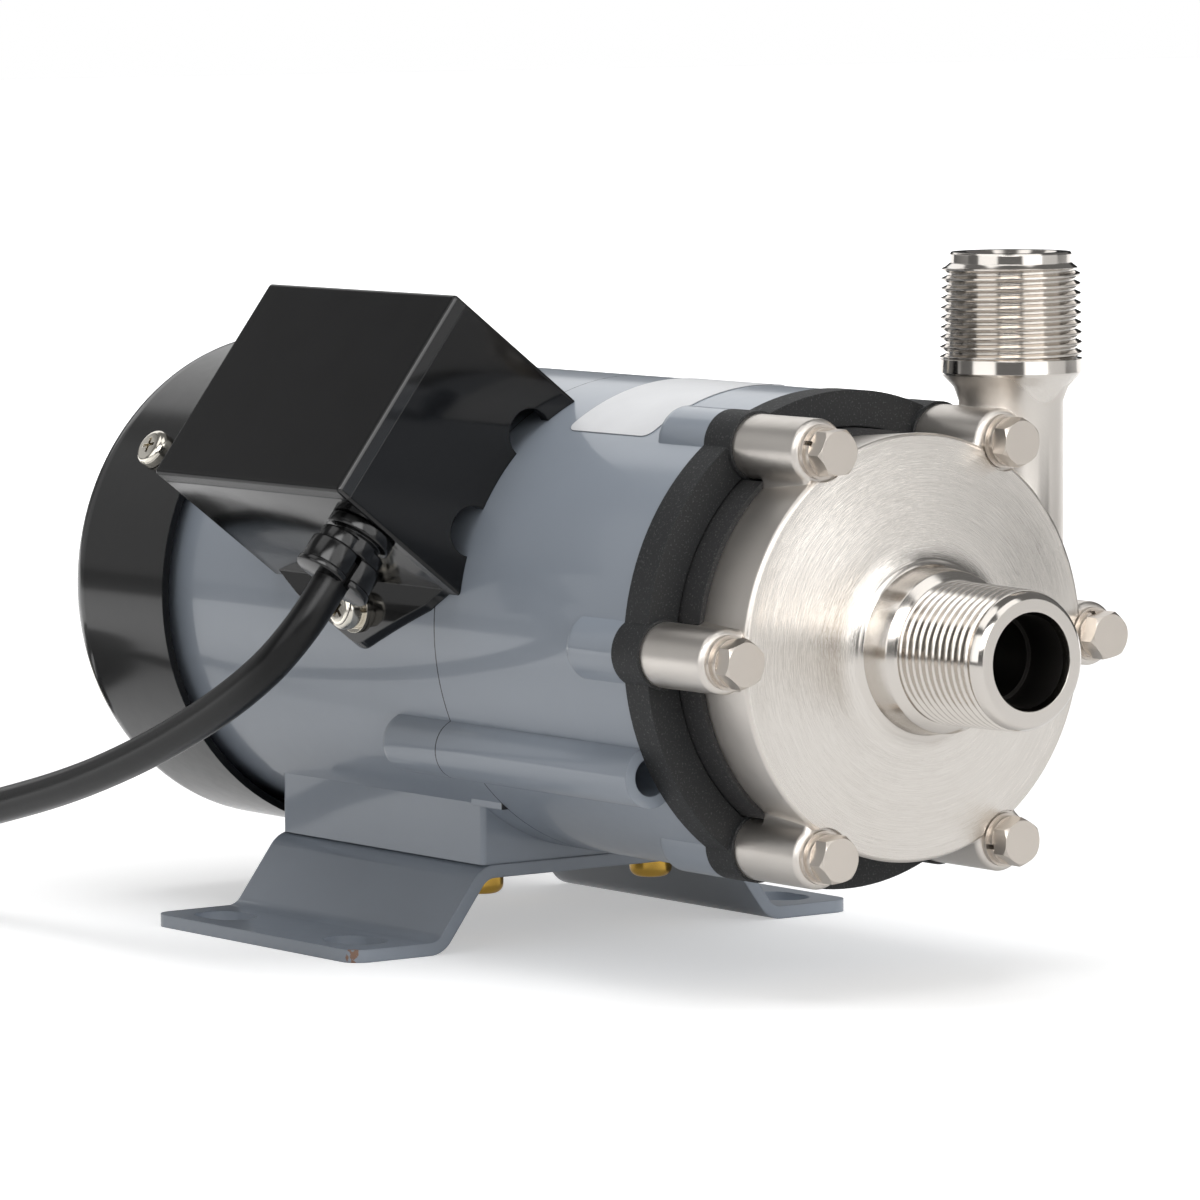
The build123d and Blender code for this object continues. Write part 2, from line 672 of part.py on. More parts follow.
def bracket():
    """The black ring with six ears that joins the pump to the motor."""
    ring = turned(
        (BRACKET_SEAT - BRACKET_SPIGOT_LENGTH, BRACKET_BORE_R),
        (BRACKET_SEAT - BRACKET_SPIGOT_LENGTH, MOTOR_R - MOTOR_WALL - FIT),
        (BRACKET_SEAT, MOTOR_R - MOTOR_WALL - FIT),
        (BRACKET_SEAT, BRACKET_R),
        (BRACKET_FACE, BRACKET_R),
        (BRACKET_FACE, CASING_R + AIR_GAP),
        (CASING_BACK, CASING_R + AIR_GAP),
        (CASING_BACK, BRACKET_BORE_R),
    )
    room = rods(BRACKET_SEAT - BRACKET_SPIGOT_LENGTH, BRACKET_SPIGOT_LENGTH,
                HOUSING_BOSS_R + NOTCH_GAP, BOLTS)
    room += rods(BRACKET_SEAT - BRACKET_SPIGOT_LENGTH, BRACKET_SPIGOT_LENGTH,
                 TIE_RIDGE_R + NOTCH_GAP, TIES)
    ears = Part() + rods(BRACKET_SEAT, BRACKET_EAR_LENGTH, BRACKET_EAR_R, BOLTS)
    ears -= tube(BRACKET_SEAT, BRACKET_EAR_LENGTH, BRACKET_BORE_R)
    holes = rods(BRACKET_SEAT, BRACKET_EAR_LENGTH, BOLT_HOLE_R, BOLTS)
    return ring - room + ears - holes


def front_housing():
    """The front half of the motor housing, with its bearing wall, bosses and tie ridges."""
    inner_r = MOTOR_R - MOTOR_WALL
    shell = tube(SPLIT_X, FRONT_HOUSING_LENGTH, MOTOR_R, inner_r)
    shell += tube(SPLIT_X - REGISTER_DEPTH, REGISTER_DEPTH + 1, inner_r + REGISTER_WALL, inner_r)
    bosses = []
    for boss in rods(BRACKET_SEAT - HOUSING_BOSS_LENGTH, HOUSING_BOSS_LENGTH, HOUSING_BOSS_R, BOLTS):
        bosses.append(fillet(boss.edges().sort_by(Axis.X)[0], 2.5))
    bosses = Part() + bosses - tube(SPLIT_X, FRONT_HOUSING_LENGTH, BRACKET_BORE_R)
    partition = tube(PARTITION_X, PARTITION_WALL, inner_r + 1, SHAFT_PASSAGE_R + 1.5)
    partition += tube(PARTITION_X, PARTITION_WALL + BEARING_WIDTH, BEARING_R + BEARING_HUB_WALL,
                      BEARING_R + FIT)
    partition += tube(PARTITION_X, PARTITION_WALL, BEARING_R + 1, SHAFT_PASSAGE_R + 1.5)
    shell += bosses + partition + rods(SPLIT_X, FRONT_HOUSING_LENGTH, TIE_RIDGE_R, TIES)
    shell -= rods(BRACKET_SEAT - HOUSING_BOSS_HOLE, HOUSING_BOSS_HOLE, BOLT_R + FIT, BOLTS)
    shell -= rods(SPLIT_X, TIE_HEAD_SEAT, TIE_HOLE_R, TIES)
    head_hole = FRONT_HOUSING_LENGTH - TIE_HEAD_SEAT
    return shell - rods(SPLIT_X + TIE_HEAD_SEAT, head_hole, TIE_HEAD_HOLE_R, TIES)


def pedestal():
    """The cast block under the rear housing, hollow from below, with four screw bosses."""
    height = SHAFT_HEIGHT - PLATE_TOP
    middle = PLATE_TOP + height / 2
    block = Pos(0, 0, middle) * Box(PEDESTAL_LENGTH, PEDESTAL_WIDTH, height)
    block = fillet(block.edges().filter_by(Axis.Z), PEDESTAL_EDGE)
    pocket = Pos(0, 0, PLATE_TOP + PEDESTAL_POCKET / 2) * Box(
        PEDESTAL_LENGTH - 2 * PEDESTAL_WALL, PEDESTAL_WIDTH - 2 * PEDESTAL_WALL, PEDESTAL_POCKET)
    for place in GridLocations(FOOT_SCREW_X, FOOT_SCREW_Y, 2, 2):
        centre = Pos(0, 0, PLATE_TOP + PEDESTAL_POCKET / 2) * place
        pocket -= centre * Cylinder(FOOT_SCREW_R + 3, PEDESTAL_POCKET)
    return block - pocket


def pedestal_lips():
    """The narrow ribs beside the pedestal that run on to the joint of the housings."""
    reach = PEDESTAL_WIDTH / 2 + PEDESTAL_LIP_REACH
    height = SHAFT_HEIGHT - math.sqrt(MOTOR_R**2 - (PEDESTAL_WIDTH / 2) ** 2)
    start = PEDESTAL_LENGTH / 2 - 2
    length = SPLIT_X - start
    return [
        Pos(start + length / 2, side * (reach - 2), height + 0.4) * Box(length, 4, PEDESTAL_LIP)
        for side in (1, -1)
    ]


def rear_housing():
    """The rear half of the motor housing, with its end wall, bearing hub and pedestal."""
    inner_r = MOTOR_R - MOTOR_WALL
    shell = tube(HOUSING_END, REAR_HOUSING_LENGTH, MOTOR_R) + pedestal()
    lug_top = math.sqrt((COVER_R - COVER_WALL - FIT) ** 2 - COVER_LUG_R**2)
    lugs = [
        extrude(radial(angle, COVER_SCREW_X, lug_top) * Circle(COVER_LUG_R), MOTOR_R - 2 - lug_top)
        for angle in COVER_SCREW_ANGLES
    ]
    ridges = []
    for ridge in rods(SPLIT_X - TIE_RIDGE_BEHIND, TIE_RIDGE_BEHIND, TIE_RIDGE_R, TIES):
        ridges.append(fillet(ridge.edges().sort_by(Axis.X)[0], 2.5))
    shell += lugs + ridges + pedestal_lips()
    shell -= tube(HOUSING_END + END_WALL, REAR_HOUSING_LENGTH - END_WALL, inner_r)
    shell += tube(HOUSING_END, END_WALL + BEARING_WIDTH + 1, BEARING_R + BEARING_HUB_WALL)
    shell -= tube(REAR_POCKET_X, WAVE_WASHER + BEARING_WIDTH + 1, BEARING_R + FIT)
    shell -= tube(HOUSING_END, END_WALL, SHAFT_PASSAGE_R)
    shell -= tube(SPLIT_X - REGISTER_DEPTH - FIT, REGISTER_DEPTH + FIT, inner_r + REGISTER_WALL + FIT)
    shell -= rods(SPLIT_X - TIE_THREAD_LENGTH, TIE_THREAD_LENGTH, TIE_BOLT_R + FIT, TIES)
    for angle in COVER_SCREW_ANGLES:
        top = radial(angle, COVER_SCREW_X, COVER_R)
        shell -= extrude(top * Circle(COVER_SCREW_R + FIT), -COVER_SCREW_LENGTH - 0.5)
    for place in GridLocations(FOOT_SCREW_X, FOOT_SCREW_Y, 2, 2):
        depth = FOOT_SCREW_LENGTH - SHEET - FOOT_WASHER + 0.5
        shell -= place * Pos(0, 0, PLATE_TOP) * extrude(Circle(FOOT_SCREW_R + FIT), depth)
    for side in (1, -1):
        shell -= extrude(box_screw_seat(side, MOTOR_R + 1) * Circle(BOX_SCREW_R + FIT),
                         -MOTOR_WALL - 1)
    return shell


def tie_bolts():
    """Two long screws that draw the motor housings together."""
    seat = SPLIT_X + TIE_HEAD_SEAT
    heads = rods(seat, TIE_HEAD_HEIGHT, TIE_HEAD_R, TIES)
    shank = TIE_HEAD_SEAT + TIE_THREAD_LENGTH - 0.5
    shanks = rods(seat - shank, shank, TIE_BOLT_R, TIES)
    sockets = [
        extrude(across(seat + TIE_HEAD_HEIGHT - 2) * place * RegularPolygon(1.7, 6), 2) for place in TIES
    ]
    return group([head + shank - socket for head, shank, socket in zip(heads, shanks, sockets)])


# Motor works

def stator_core():
    """The laminated stack pressed into the rear housing."""
    outer_r = MOTOR_R - MOTOR_WALL - FIT
    return tube(CORE_BACK_X, CORE_LENGTH, outer_r, ROTOR_R + AIR_GAP)


def stator_windings():
    """The taped end turns of the windings at both ends of the stack."""
    rings = []
    for x in (CORE_BACK_X - WINDING_LENGTH, CORE_BACK_X + CORE_LENGTH):
        ring = tube(x, WINDING_LENGTH, WINDING_R, WINDING_INNER_R)
        far = x if x < CORE_BACK_X else x + WINDING_LENGTH
        edges = ring_edges(ring, far, WINDING_R) + ring_edges(ring, far, WINDING_INNER_R)
        rings.append(fillet(edges, 4.0))
    return group(rings)


def motor_shaft():
    """The stepped shaft from the fan to the drive magnet hub."""
    rear_shoulder = REAR_BEARING_X + BEARING_WIDTH
    return turned(
        (SHAFT_REAR, 0),
        (SHAFT_REAR, SHAFT_END_R),
        (REAR_BEARING_X - 0.5, SHAFT_END_R),
        (REAR_BEARING_X - 0.5, SHAFT_BEARING_R),
        (rear_shoulder, SHAFT_BEARING_R),
        (rear_shoulder, SHAFT_CORE_R),
        (FRONT_BEARING_X, SHAFT_CORE_R),
        (FRONT_BEARING_X, SHAFT_BEARING_R),
        (FRONT_BEARING_X + BEARING_WIDTH + 0.5, SHAFT_BEARING_R),
        (FRONT_BEARING_X + BEARING_WIDTH + 0.5, SHAFT_END_R),
        (SHAFT_FRONT, SHAFT_END_R),
        (SHAFT_FRONT, 0),
    )


def rotor_core():
    """The laminated rotor on the shaft."""
    return tube(CORE_BACK_X, CORE_LENGTH, ROTOR_R, SHAFT_CORE_R + FIT)


def rotor_end_rings():
    """The cast rings that join the rotor bars at both ends."""
    return group([
        tube(x, ROTOR_RING_LENGTH, ROTOR_RING_R, SHAFT_CORE_R + 4)
        for x in (CORE_BACK_X - ROTOR_RING_LENGTH, CORE_BACK_X + CORE_LENGTH)
    ])


def drive_magnet_hub():
    """The steel cup on the end of the shaft that carries the drive magnets round the can."""
    inner_r = DRIVE_CUP_R - DRIVE_CUP_WALL
    cup = turned(
        (DRIVE_HUB_BACK, SHAFT_END_R + FIT),
        (DRIVE_HUB_BACK, DRIVE_HUB_R),
        (DRIVE_PLATE_BACK, DRIVE_HUB_R),
        (DRIVE_PLATE_BACK, DRIVE_CUP_R),
        (DRIVE_PLATE_FRONT + DRIVE_CUP_LENGTH, DRIVE_CUP_R),
        (DRIVE_PLATE_FRONT + DRIVE_CUP_LENGTH, inner_r),
        (DRIVE_PLATE_FRONT, inner_r),
        (DRIVE_PLATE_FRONT, SHAFT_END_R + FIT),
    )
    screw_hole = extrude(hub_screw_seat() * Circle(SET_SCREW_R + FIT), DRIVE_HUB_R)
    return cup - screw_hole


def hub_screw_seat():
    """The plane on the shaft's surface under the set screw."""
    return radial(90, DRIVE_HUB_BACK + DRIVE_HUB_LENGTH / 2, SHAFT_END_R)


def hub_set_screw():
    """The set screw that holds the hub on the shaft."""
    return Pos(0, 0, FIT) * extrude(hub_screw_seat() * Circle(SET_SCREW_R), SET_SCREW_LENGTH)


def drive_magnets():
    """The magnet segments inside the cup."""
    outer_r = DRIVE_CUP_R - DRIVE_CUP_WALL - FIT
    inner_r = outer_r - DRIVE_MAGNET_THICKNESS
    half = math.radians(DRIVE_MAGNET_SPAN / 2)
    corners = [(0, 0), (2 * outer_r * math.cos(half), -2 * outer_r * math.sin(half)),
               (2 * outer_r * math.cos(half), 2 * outer_r * math.sin(half))]
    segment = (Circle(outer_r) - Circle(inner_r)) & make_face(Polyline(*corners, close=True))
    start = across(DRIVE_PLATE_FRONT + 1)
    return group([
        extrude(start * Rot(0, 0, 360 / DRIVE_MAGNET_COUNT * n) * segment, DRIVE_MAGNET_LENGTH)
        for n in range(DRIVE_MAGNET_COUNT)
    ])


def bearing_rings(outer):
    """The outer or the inner rings of both ball bearings, each with its ball groove."""
    pitch_r = (BEARING_R + SHAFT_BEARING_R) / 2
    rings = []
    for x in (REAR_BEARING_X, FRONT_BEARING_X):
        if outer:
            ring = tube(x, BEARING_WIDTH, BEARING_R, BEARING_OUTER_INNER_R)
        else:
            ring = tube(x, BEARING_WIDTH, BEARING_INNER_OUTER_R, SHAFT_BEARING_R + FIT)
        rings.append(ring - across(x + BEARING_WIDTH / 2) * Torus(pitch_r, GROOVE_R))
    return group(rings)


def bearing_balls():
    """The balls of both bearings."""
    pitch_r = (BEARING_R + SHAFT_BEARING_R) / 2
    return group([
        across(x + BEARING_WIDTH / 2) * place * Sphere(BALL_R)
        for x in (REAR_BEARING_X, FRONT_BEARING_X)
        for place in PolarLocations(pitch_r, BALL_COUNT)
    ])


def wave_washer():
    """The washer that loads the rear bearing."""
    return tube(REAR_POCKET_X, WAVE_WASHER, BEARING_R - 0.5, BEARING_OUTER_INNER_R - 0.5)


def cooling_fan():
    """The moulded fan on the rear end of the shaft, with straight radial blades."""
    fan = tube(FAN_BACK, FAN_LENGTH, FAN_HUB_R)
    fan += tube(FAN_FRONT - FAN_DISC, FAN_DISC, FAN_DISC_R)
    blade = Pos(FAN_R / 2, 0) * Rectangle(FAN_R, FAN_BLADE_THICKNESS)
    for n in range(FAN_BLADES):
        turn = Rot(0, 0, 360 / FAN_BLADES * n)
        fan += extrude(across(FAN_BACK) * turn * blade, FAN_LENGTH)
    return fan - tube(FAN_BACK, FAN_LENGTH, SHAFT_END_R + FIT)


def fan_clip():
    """The spring clip that keeps the fan on the shaft."""
    plane = across(FAN_BACK - FAN_CLIP_THICKNESS)
    return split_washer(plane, FAN_CLIP_R, SHAFT_END_R + FIT, FAN_CLIP_THICKNESS)


def fan_cover():
    """The drawn cap over the fan, with rings of slots in its back."""
    cover = tube(COVER_BACK, COVER_LENGTH, COVER_R)
    cover = fillet(ring_edges(cover, COVER_BACK, COVER_R), COVER_CORNER_R)
    inner_r = COVER_R - COVER_WALL
    room = tube(COVER_BACK + COVER_WALL, COVER_LENGTH - COVER_WALL, inner_r)
    room = fillet(ring_edges(room, COVER_BACK + COVER_WALL, inner_r), COVER_CORNER_R - COVER_WALL)
    slots = Sketch()
    for n in range(GRILLE_RINGS):
        slot_r = GRILLE_INNER_R + n * (GRILLE_SLOT + GRILLE_BAR)
        slots += Circle(slot_r + GRILLE_SLOT) - Circle(slot_r)
    slots -= [Rot(0, 0, turn) * Rectangle(2 * COVER_R, GRILLE_SPOKE) for turn in (45, 135)]
    cover -= room
    cover -= extrude(across(COVER_BACK) * slots, COVER_WALL)
    for angle in COVER_SCREW_ANGLES:
        seat = radial(angle, COVER_SCREW_X, COVER_R + 1)
        cover -= extrude(seat * Circle(COVER_SCREW_R + 0.3), -COVER_WALL - 3)
    return cover


def fan_cover_screws():
    """Three pan head screws that hold the fan cover."""
    screws = []
    for angle in COVER_SCREW_ANGLES:
        seat = radial(angle, COVER_SCREW_X, COVER_R)
        head = extrude(seat * Circle(COVER_SCREW_HEAD_R), COVER_SCREW_HEAD)
        head = fillet(outer_face(head, seat).edges(), 1.2)
        screws.append(head + extrude(seat * Circle(COVER_SCREW_R), -COVER_SCREW_LENGTH))
    return group(screws)


# Terminal box

def box_screw_seat(side, reach):
    """The plane under a box screw: side -1 is the lower tab, side 1 the upper one."""
    return radial(180 - BOX_TILT - side * TAB_SCREW_ANGLE, TAB_SCREW_X, reach)


def box_block(low, high, inset):
    """A block of the box's outline between two heights above the shaft line."""
    outline = Pos(BOX_MIDDLE_X, 0) * Rectangle(BOX_LENGTH - 2 * inset, BOX_WIDTH - 2 * inset)
    return extrude(BOX_PLANE * Pos(0, 0, low) * outline, high - low)


def tab(side):
    """The fixing tab that lies on the motor, narrowing to its screw."""
    edge = side * (BOX_WIDTH / 2 - BOX_WALL)
    tip_y = side * (BOX_WIDTH / 2 + TAB_REACH - TAB_TIP_R)
    outline = make_hull([
        *(Pos(BOX_BACK_X + 0.5, edge) * Circle(0.5)).edges(),
        *(Pos(BOX_BACK_X + BOX_LENGTH - 0.5, edge) * Circle(0.5)).edges(),
        *(Pos(TAB_SCREW_X + 1, tip_y) * Circle(TAB_TIP_R)).edges(),
    ])
    return extrude(BOX_PLANE * outline, BOX_TOP)


def terminal_box():
    """The open moulded box that sits on the motor, with two tabs and two half round cut-outs."""
    box = box_block(MOTOR_R * 0.8, BOX_TOP - BOX_LID, 0)
    box = fillet(box.edges().filter_by(BOX_UP), BOX_EDGE)
    box -= box_block(0, BOX_TOP - BOX_LID, BOX_WALL)
    skin = tube(BOX_BACK_X, BOX_LENGTH, TAB_R)
    tabs = (tab(1) + tab(-1)) & skin
    box += tabs - box_block(0, BOX_TOP, BOX_WALL)
    box -= tube(BOX_BACK_X - 1, BOX_LENGTH + 2, MOTOR_R + BOX_SEAT_GAP)
    for side in (1, -1):
        cut = BOX_PLANE * Pos(BOX_MIDDLE_X, side * BOX_NOTCH_FROM_MIDDLE, BOX_NOTCH_HEIGHT)
        box -= cut * Rot(0, 90, 0) * Cylinder(BOX_NOTCH_R, BOX_LENGTH + 2)
        box -= extrude(box_screw_seat(side, TAB_R + 1) * Circle(BOX_SCREW_R + 0.2), -TAB_THICKNESS - 2)
    neck = relief_plane() * Cylinder(RELIEF_NECK_R + FIT, 4 * BOX_WALL)
    return box - neck


def terminal_box_lid():
    """The lid with the skirt that snaps into the box."""
    lid = box_block(BOX_TOP - BOX_LID, BOX_TOP, 0)
    lid = fillet(lid.edges().filter_by(BOX_UP), BOX_EDGE)
    lid = fillet(outer_face(lid, BOX_PLANE).edges(), BOX_EDGE)
    skirt = box_block(BOX_TOP - BOX_LID - LID_SKIRT, BOX_TOP - BOX_LID, BOX_WALL + FIT)
    skirt -= box_block(BOX_TOP - BOX_LID - LID_SKIRT, BOX_TOP - BOX_LID, BOX_WALL + FIT + LID_SKIRT_WALL)
    skirt -= relief_plane() * Cylinder(RELIEF_COLLAR_R + 1, 8 * BOX_WALL)
    return lid + skirt


def relief_plane():
    """The plane on the lower wall of the box where the strain relief sits, facing out."""
    centre = BOX_PLANE.from_local_coords((RELIEF_X, -BOX_WIDTH / 2, RELIEF_HEIGHT))
    return Plane(origin=centre, x_dir=BOX_PLANE.z_dir, z_dir=-BOX_PLANE.y_dir)


def strain_relief():
    """The split bushing: a collar on the wall, a neck through it and two clamping lobes."""
    plane = relief_plane()
    collar = extrude(plane * Circle(RELIEF_COLLAR_R), RELIEF_COLLAR)
    neck = extrude(plane * Circle(RELIEF_NECK_R), -BOX_WALL)
    flange = extrude(plane * Pos(0, 0, -BOX_WALL) * Circle(RELIEF_NECK_R + 0.3), -1.2)
    lobes = Sketch() + [
        Pos(side * RELIEF_LOBE_SPREAD, 0) * Circle(RELIEF_LOBE_R) for side in (1, -1)
    ]
    lobes = extrude(plane * lobes, RELIEF_LENGTH)
    split = extrude(plane * Pos(0, 0, RELIEF_COLLAR) * Rectangle(RELIEF_SPLIT, 4 * RELIEF_LOBE_R),
                    RELIEF_LENGTH - RELIEF_COLLAR)
    bridge = extrude(plane * Circle(CORD_R + 1), RELIEF_LENGTH)
    bore = extrude(plane * Pos(0, 0, RELIEF_LENGTH - CORD_IN_RELIEF) * Circle(CORD_R + FIT), CORD_IN_RELIEF)
    return collar + neck + flange + (lobes - split) + bridge - bore


def box_screws():
    """The two screws through the tabs."""
    screws = []
    for side in (1, -1):
        seat = box_screw_seat(side, TAB_R + BOX_FLAT_WASHER + BOX_SPRING_WASHER)
        head = extrude(seat * Circle(BOX_SCREW_HEAD_R), BOX_SCREW_HEAD)
        head = fillet(outer_face(head, seat).edges(), 1.2)
        screws.append(head + extrude(seat * Circle(BOX_SCREW_R), -BOX_SCREW_LENGTH))
    return group(screws)


def box_flat_washers():
    """The flat washers on the tabs."""
    section = Circle(BOX_FLAT_WASHER_R) - Circle(BOX_SCREW_R + FIT)
    return group([extrude(box_screw_seat(side, TAB_R) * section, BOX_FLAT_WASHER) for side in (1, -1)])


def box_spring_washers():
    """The spring washers under the heads of the box screws."""
    return group([
        split_washer(box_screw_seat(side, TAB_R + BOX_FLAT_WASHER), BOX_SPRING_WASHER_R,
                     BOX_SCREW_R + FIT, BOX_SPRING_WASHER)
        for side in (1, -1)
    ])


def terminal_block():
    """The screw terminals on the upper wall inside the box."""
    length, width, height = BLOCK_SIZE
    wall = BOX_WIDTH / 2 - BOX_WALL
    place = BOX_PLANE * Pos(BOX_MIDDLE_X, wall - width / 2 - FIT, MOTOR_R + height)
    block = place * Box(length, width, height)
    for n in range(3):
        shift = (n - 1) * length / 3
        block -= place * Pos(shift, 0, height / 2) * Cylinder(2.2, 5)
    return block


def run_capacitor():
    """The run capacitor on the lower side inside the box."""
    wall = BOX_WIDTH / 2 - BOX_WALL
    place = BOX_PLANE * Pos(BOX_BACK_X + BOX_WALL + CAPACITOR_LENGTH / 2 + 1,
                            CAPACITOR_R + FIT - wall, BOX_TOP - BOX_LID - LID_SKIRT - CAPACITOR_R - FIT)
    can = place * Rot(0, 90, 0) * Cylinder(CAPACITOR_R, CAPACITOR_LENGTH)
    return fillet(can.edges().filter_by(GeomType.CIRCLE), 1.0)


# Foot

def foot_plate():
    """The bent sheet under the pedestal, with a slotted hole near each corner."""
    slope = math.atan2(FOOT_RISE, FOOT_TOE_HALF - FOOT_TOP_HALF)
    shift = SHEET * math.tan(slope / 2)
    half = FOOT_WIDTH / 2
    right = [
        (FOOT_TOP_HALF, FOOT_RISE),
        (FOOT_TOE_HALF, 0),
        (half, 0),
        (half, SHEET),
        (FOOT_TOE_HALF + shift, SHEET),
        (FOOT_TOP_HALF + shift, PLATE_TOP),
    ]
    left = [(-y, z) for y, z in reversed(right)]
    section = make_face(Polyline(*right, *left, close=True))
    inner = [(FOOT_TOP_HALF, FOOT_RISE), (FOOT_TOE_HALF + shift, SHEET)]
    outer = [(FOOT_TOE_HALF, 0), (FOOT_TOP_HALF + shift, PLATE_TOP)]
    section = fillet(corners_at(section, inner), BEND_R)
    section = fillet(corners_at(section, outer), BEND_R + SHEET)
    upright = Plane(origin=(-FOOT_LENGTH / 2, 0, 0), x_dir=(0, 1, 0), z_dir=(1, 0, 0))
    plate = extrude(upright * section, FOOT_LENGTH)
    ends = [
        edge for edge in plate.edges().filter_by(Axis.Z)
        if abs(abs(edge.center().Y) - half) < 0.01
    ]
    plate = fillet(ends, FOOT_CORNER_R)
    slots = [place * SlotOverall(FOOT_SLOT, 2 * FOOT_HOLE_R)
             for place in GridLocations(FOOT_HOLE_X, FOOT_HOLE_Y, 2, 2)]
    holes = [place * Circle(FOOT_SCREW_HOLE_R)
             for place in GridLocations(FOOT_SCREW_X, FOOT_SCREW_Y, 2, 2)]
    return plate - extrude(Sketch() + slots + holes, PLATE_TOP)


def corners_at(section, places):
    """The corners of a section that lie at these places, or at their mirror images."""
    return [
        corner for corner in section.vertices()
        if any(abs(abs(corner.X) - y) < 0.01 and abs(corner.Y - z) < 0.01 for y, z in places)
    ]


def foot_screws():
    """Four pan head screws up through the foot plate into the pedestal."""
    seat = FOOT_RISE - FOOT_WASHER
    screws = []
    for place in GridLocations(FOOT_SCREW_X, FOOT_SCREW_Y, 2, 2):
        head = place * Pos(0, 0, seat) * extrude(Circle(FOOT_SCREW_HEAD_R), -FOOT_SCREW_HEAD)
        head = fillet(head.faces().sort_by(Axis.Z)[0].edges(), 1.4)
        screws.append(head + place * Pos(0, 0, seat) * extrude(Circle(FOOT_SCREW_R), FOOT_SCREW_LENGTH))
    return group(screws)


def foot_spring_washers():
    """The spring washers between the foot plate and the screw heads."""
    low = Plane.XY.offset(FOOT_RISE - FOOT_WASHER)
    return group([
        split_washer(low * place, FOOT_WASHER_R, FOOT_SCREW_R + FIT, FOOT_WASHER)
        for place in GridLocations(FOOT_SCREW_X, FOOT_SCREW_Y, 2, 2)
    ])


# Power cord

def cord_points():
    """The route from inside the strain relief to the lead of the coil."""
    plane = relief_plane()
    start = plane.origin + plane.z_dir * (RELIEF_LENGTH - CORD_IN_RELIEF)
    lead_end = coil_lead()[0]
    return [start, *[Vector(point) for point in CORD_ROUTE], lead_end]


def coil_lead():
    """The two ends of the straight lead that runs into the coil, tangent to its outer turn."""
    last = Vector(CORD_ROUTE[-1])
    centre = Vector(*COIL_CENTRE, CORD_R)
    reach = last - centre
    turn = math.degrees(math.acos((COIL_R - CORD_R) / reach.length))
    touch = centre + reach.normalized().rotate(Axis.Z, -turn) * (COIL_R - CORD_R)
    return touch + (last - touch).normalized() * COIL_LEAD_IN, touch


def power_cord():
    """The cord along the stretch that is not coiled: straight runs joined by tangent arcs."""
    points = cord_points()
    radii = []
    for before, here, after in zip(points, points[1:], points[2:]):
        turn = (here - before).get_angle(after - here)
        run = min((here - before).length, (after - here).length)
        radii.append(CORD_RADIUS_SHARE * run / math.tan(math.radians(turn / 2)))
        print("cord turn", round(turn, 1), "radius", round(radii[-1], 1), "run", round(run, 1))
    path = FilletPolyline(*points, radius=radii)
    section = Plane(origin=points[0], z_dir=points[1] - points[0]) * Circle(CORD_R)
    cord = sweep(section, path)
    print("cord volume", round(cord.volume), "from length", round(math.pi * CORD_R**2 * path.length))
    return cord


def tie_block(grow, width):
    """The block of coil that the tie squeezes, grown on its four sides, of a given width."""
    thickness = COIL_ACROSS - 2 * TIE_BAND + 2 * grow
    height = COIL_HEIGHT - 2 * TIE_BAND + 2 * grow
    place = Pos(COIL_CENTRE[0], COIL_CENTRE[1] + COIL_R - COIL_ACROSS / 2, COIL_HEIGHT / 2)
    return place * Box(width, thickness, height)


def power_cord_coil():
    """The coiled rest of the cord as one closed ring, with its lead in and its lead out."""
    inner_r = COIL_R - COIL_ACROSS
    middle = Pos(*COIL_CENTRE, COIL_HEIGHT / 2)
    coil = middle * (Cylinder(COIL_R, COIL_HEIGHT) - Cylinder(inner_r, COIL_HEIGHT))
    coil = fillet(coil.edges().filter_by(GeomType.CIRCLE), COIL_EDGE)
    lead_start, touch = coil_lead()
    coil += extrude(Plane(origin=lead_start, z_dir=touch - lead_start) * Circle(CORD_R), COIL_LEAD_IN)
    coil += extrude(lead_out_plane(0) * Circle(CORD_R), COIL_LEAD_OUT)
    groove = TIE_WIDTH + 2 * FIT
    return coil - (tie_block(2 * TIE_BAND, groove) - tie_block(-FIT, groove))


def lead_out_plane(distance):
    """The plane across the lead out of the coil's top layer, which runs along +Y to the plug."""
    origin = (COIL_CENTRE[0] - COIL_R + CORD_R, COIL_CENTRE[1] + distance, COIL_HEIGHT - CORD_R)
    return Plane(origin=origin, x_dir=(-1, 0, 0), z_dir=(0, 1, 0))


def cord_tie():
    """The band round the coil."""
    return tie_block(TIE_BAND, TIE_WIDTH) - tie_block(0, TIE_WIDTH)


def plug():
    """The moulded plug with its tapered tail."""
    height = 2 * (COIL_HEIGHT - CORD_R)
    tail = lead_out_plane(COIL_LEAD_OUT + PLUG_TAIL / 2) * Cone(CORD_R + 1, PLUG_TAIL_R, PLUG_TAIL)
    body = lead_out_plane(COIL_LEAD_OUT + PLUG_TAIL) * RectangleRounded(PLUG_WIDTH, height, PLUG_EDGE)
    body = extrude(body, PLUG_LENGTH)
    return tail + body


def plug_pins():
    """Two flat blades and the round earth pin."""
    face = lead_out_plane(COIL_LEAD_OUT + PLUG_TAIL + PLUG_LENGTH)
    pins = [
        extrude(face * Pos(side * BLADE_SPACING / 2, BLADE_RISE) * Rectangle(BLADE_THICKNESS, BLADE_WIDTH),
                BLADE_LENGTH)
        for side in (1, -1)
    ]
    pins.append(extrude(face * Pos(0, -EARTH_PIN_DROP) * Circle(EARTH_PIN_R), EARTH_PIN_LENGTH))
    return group(pins)


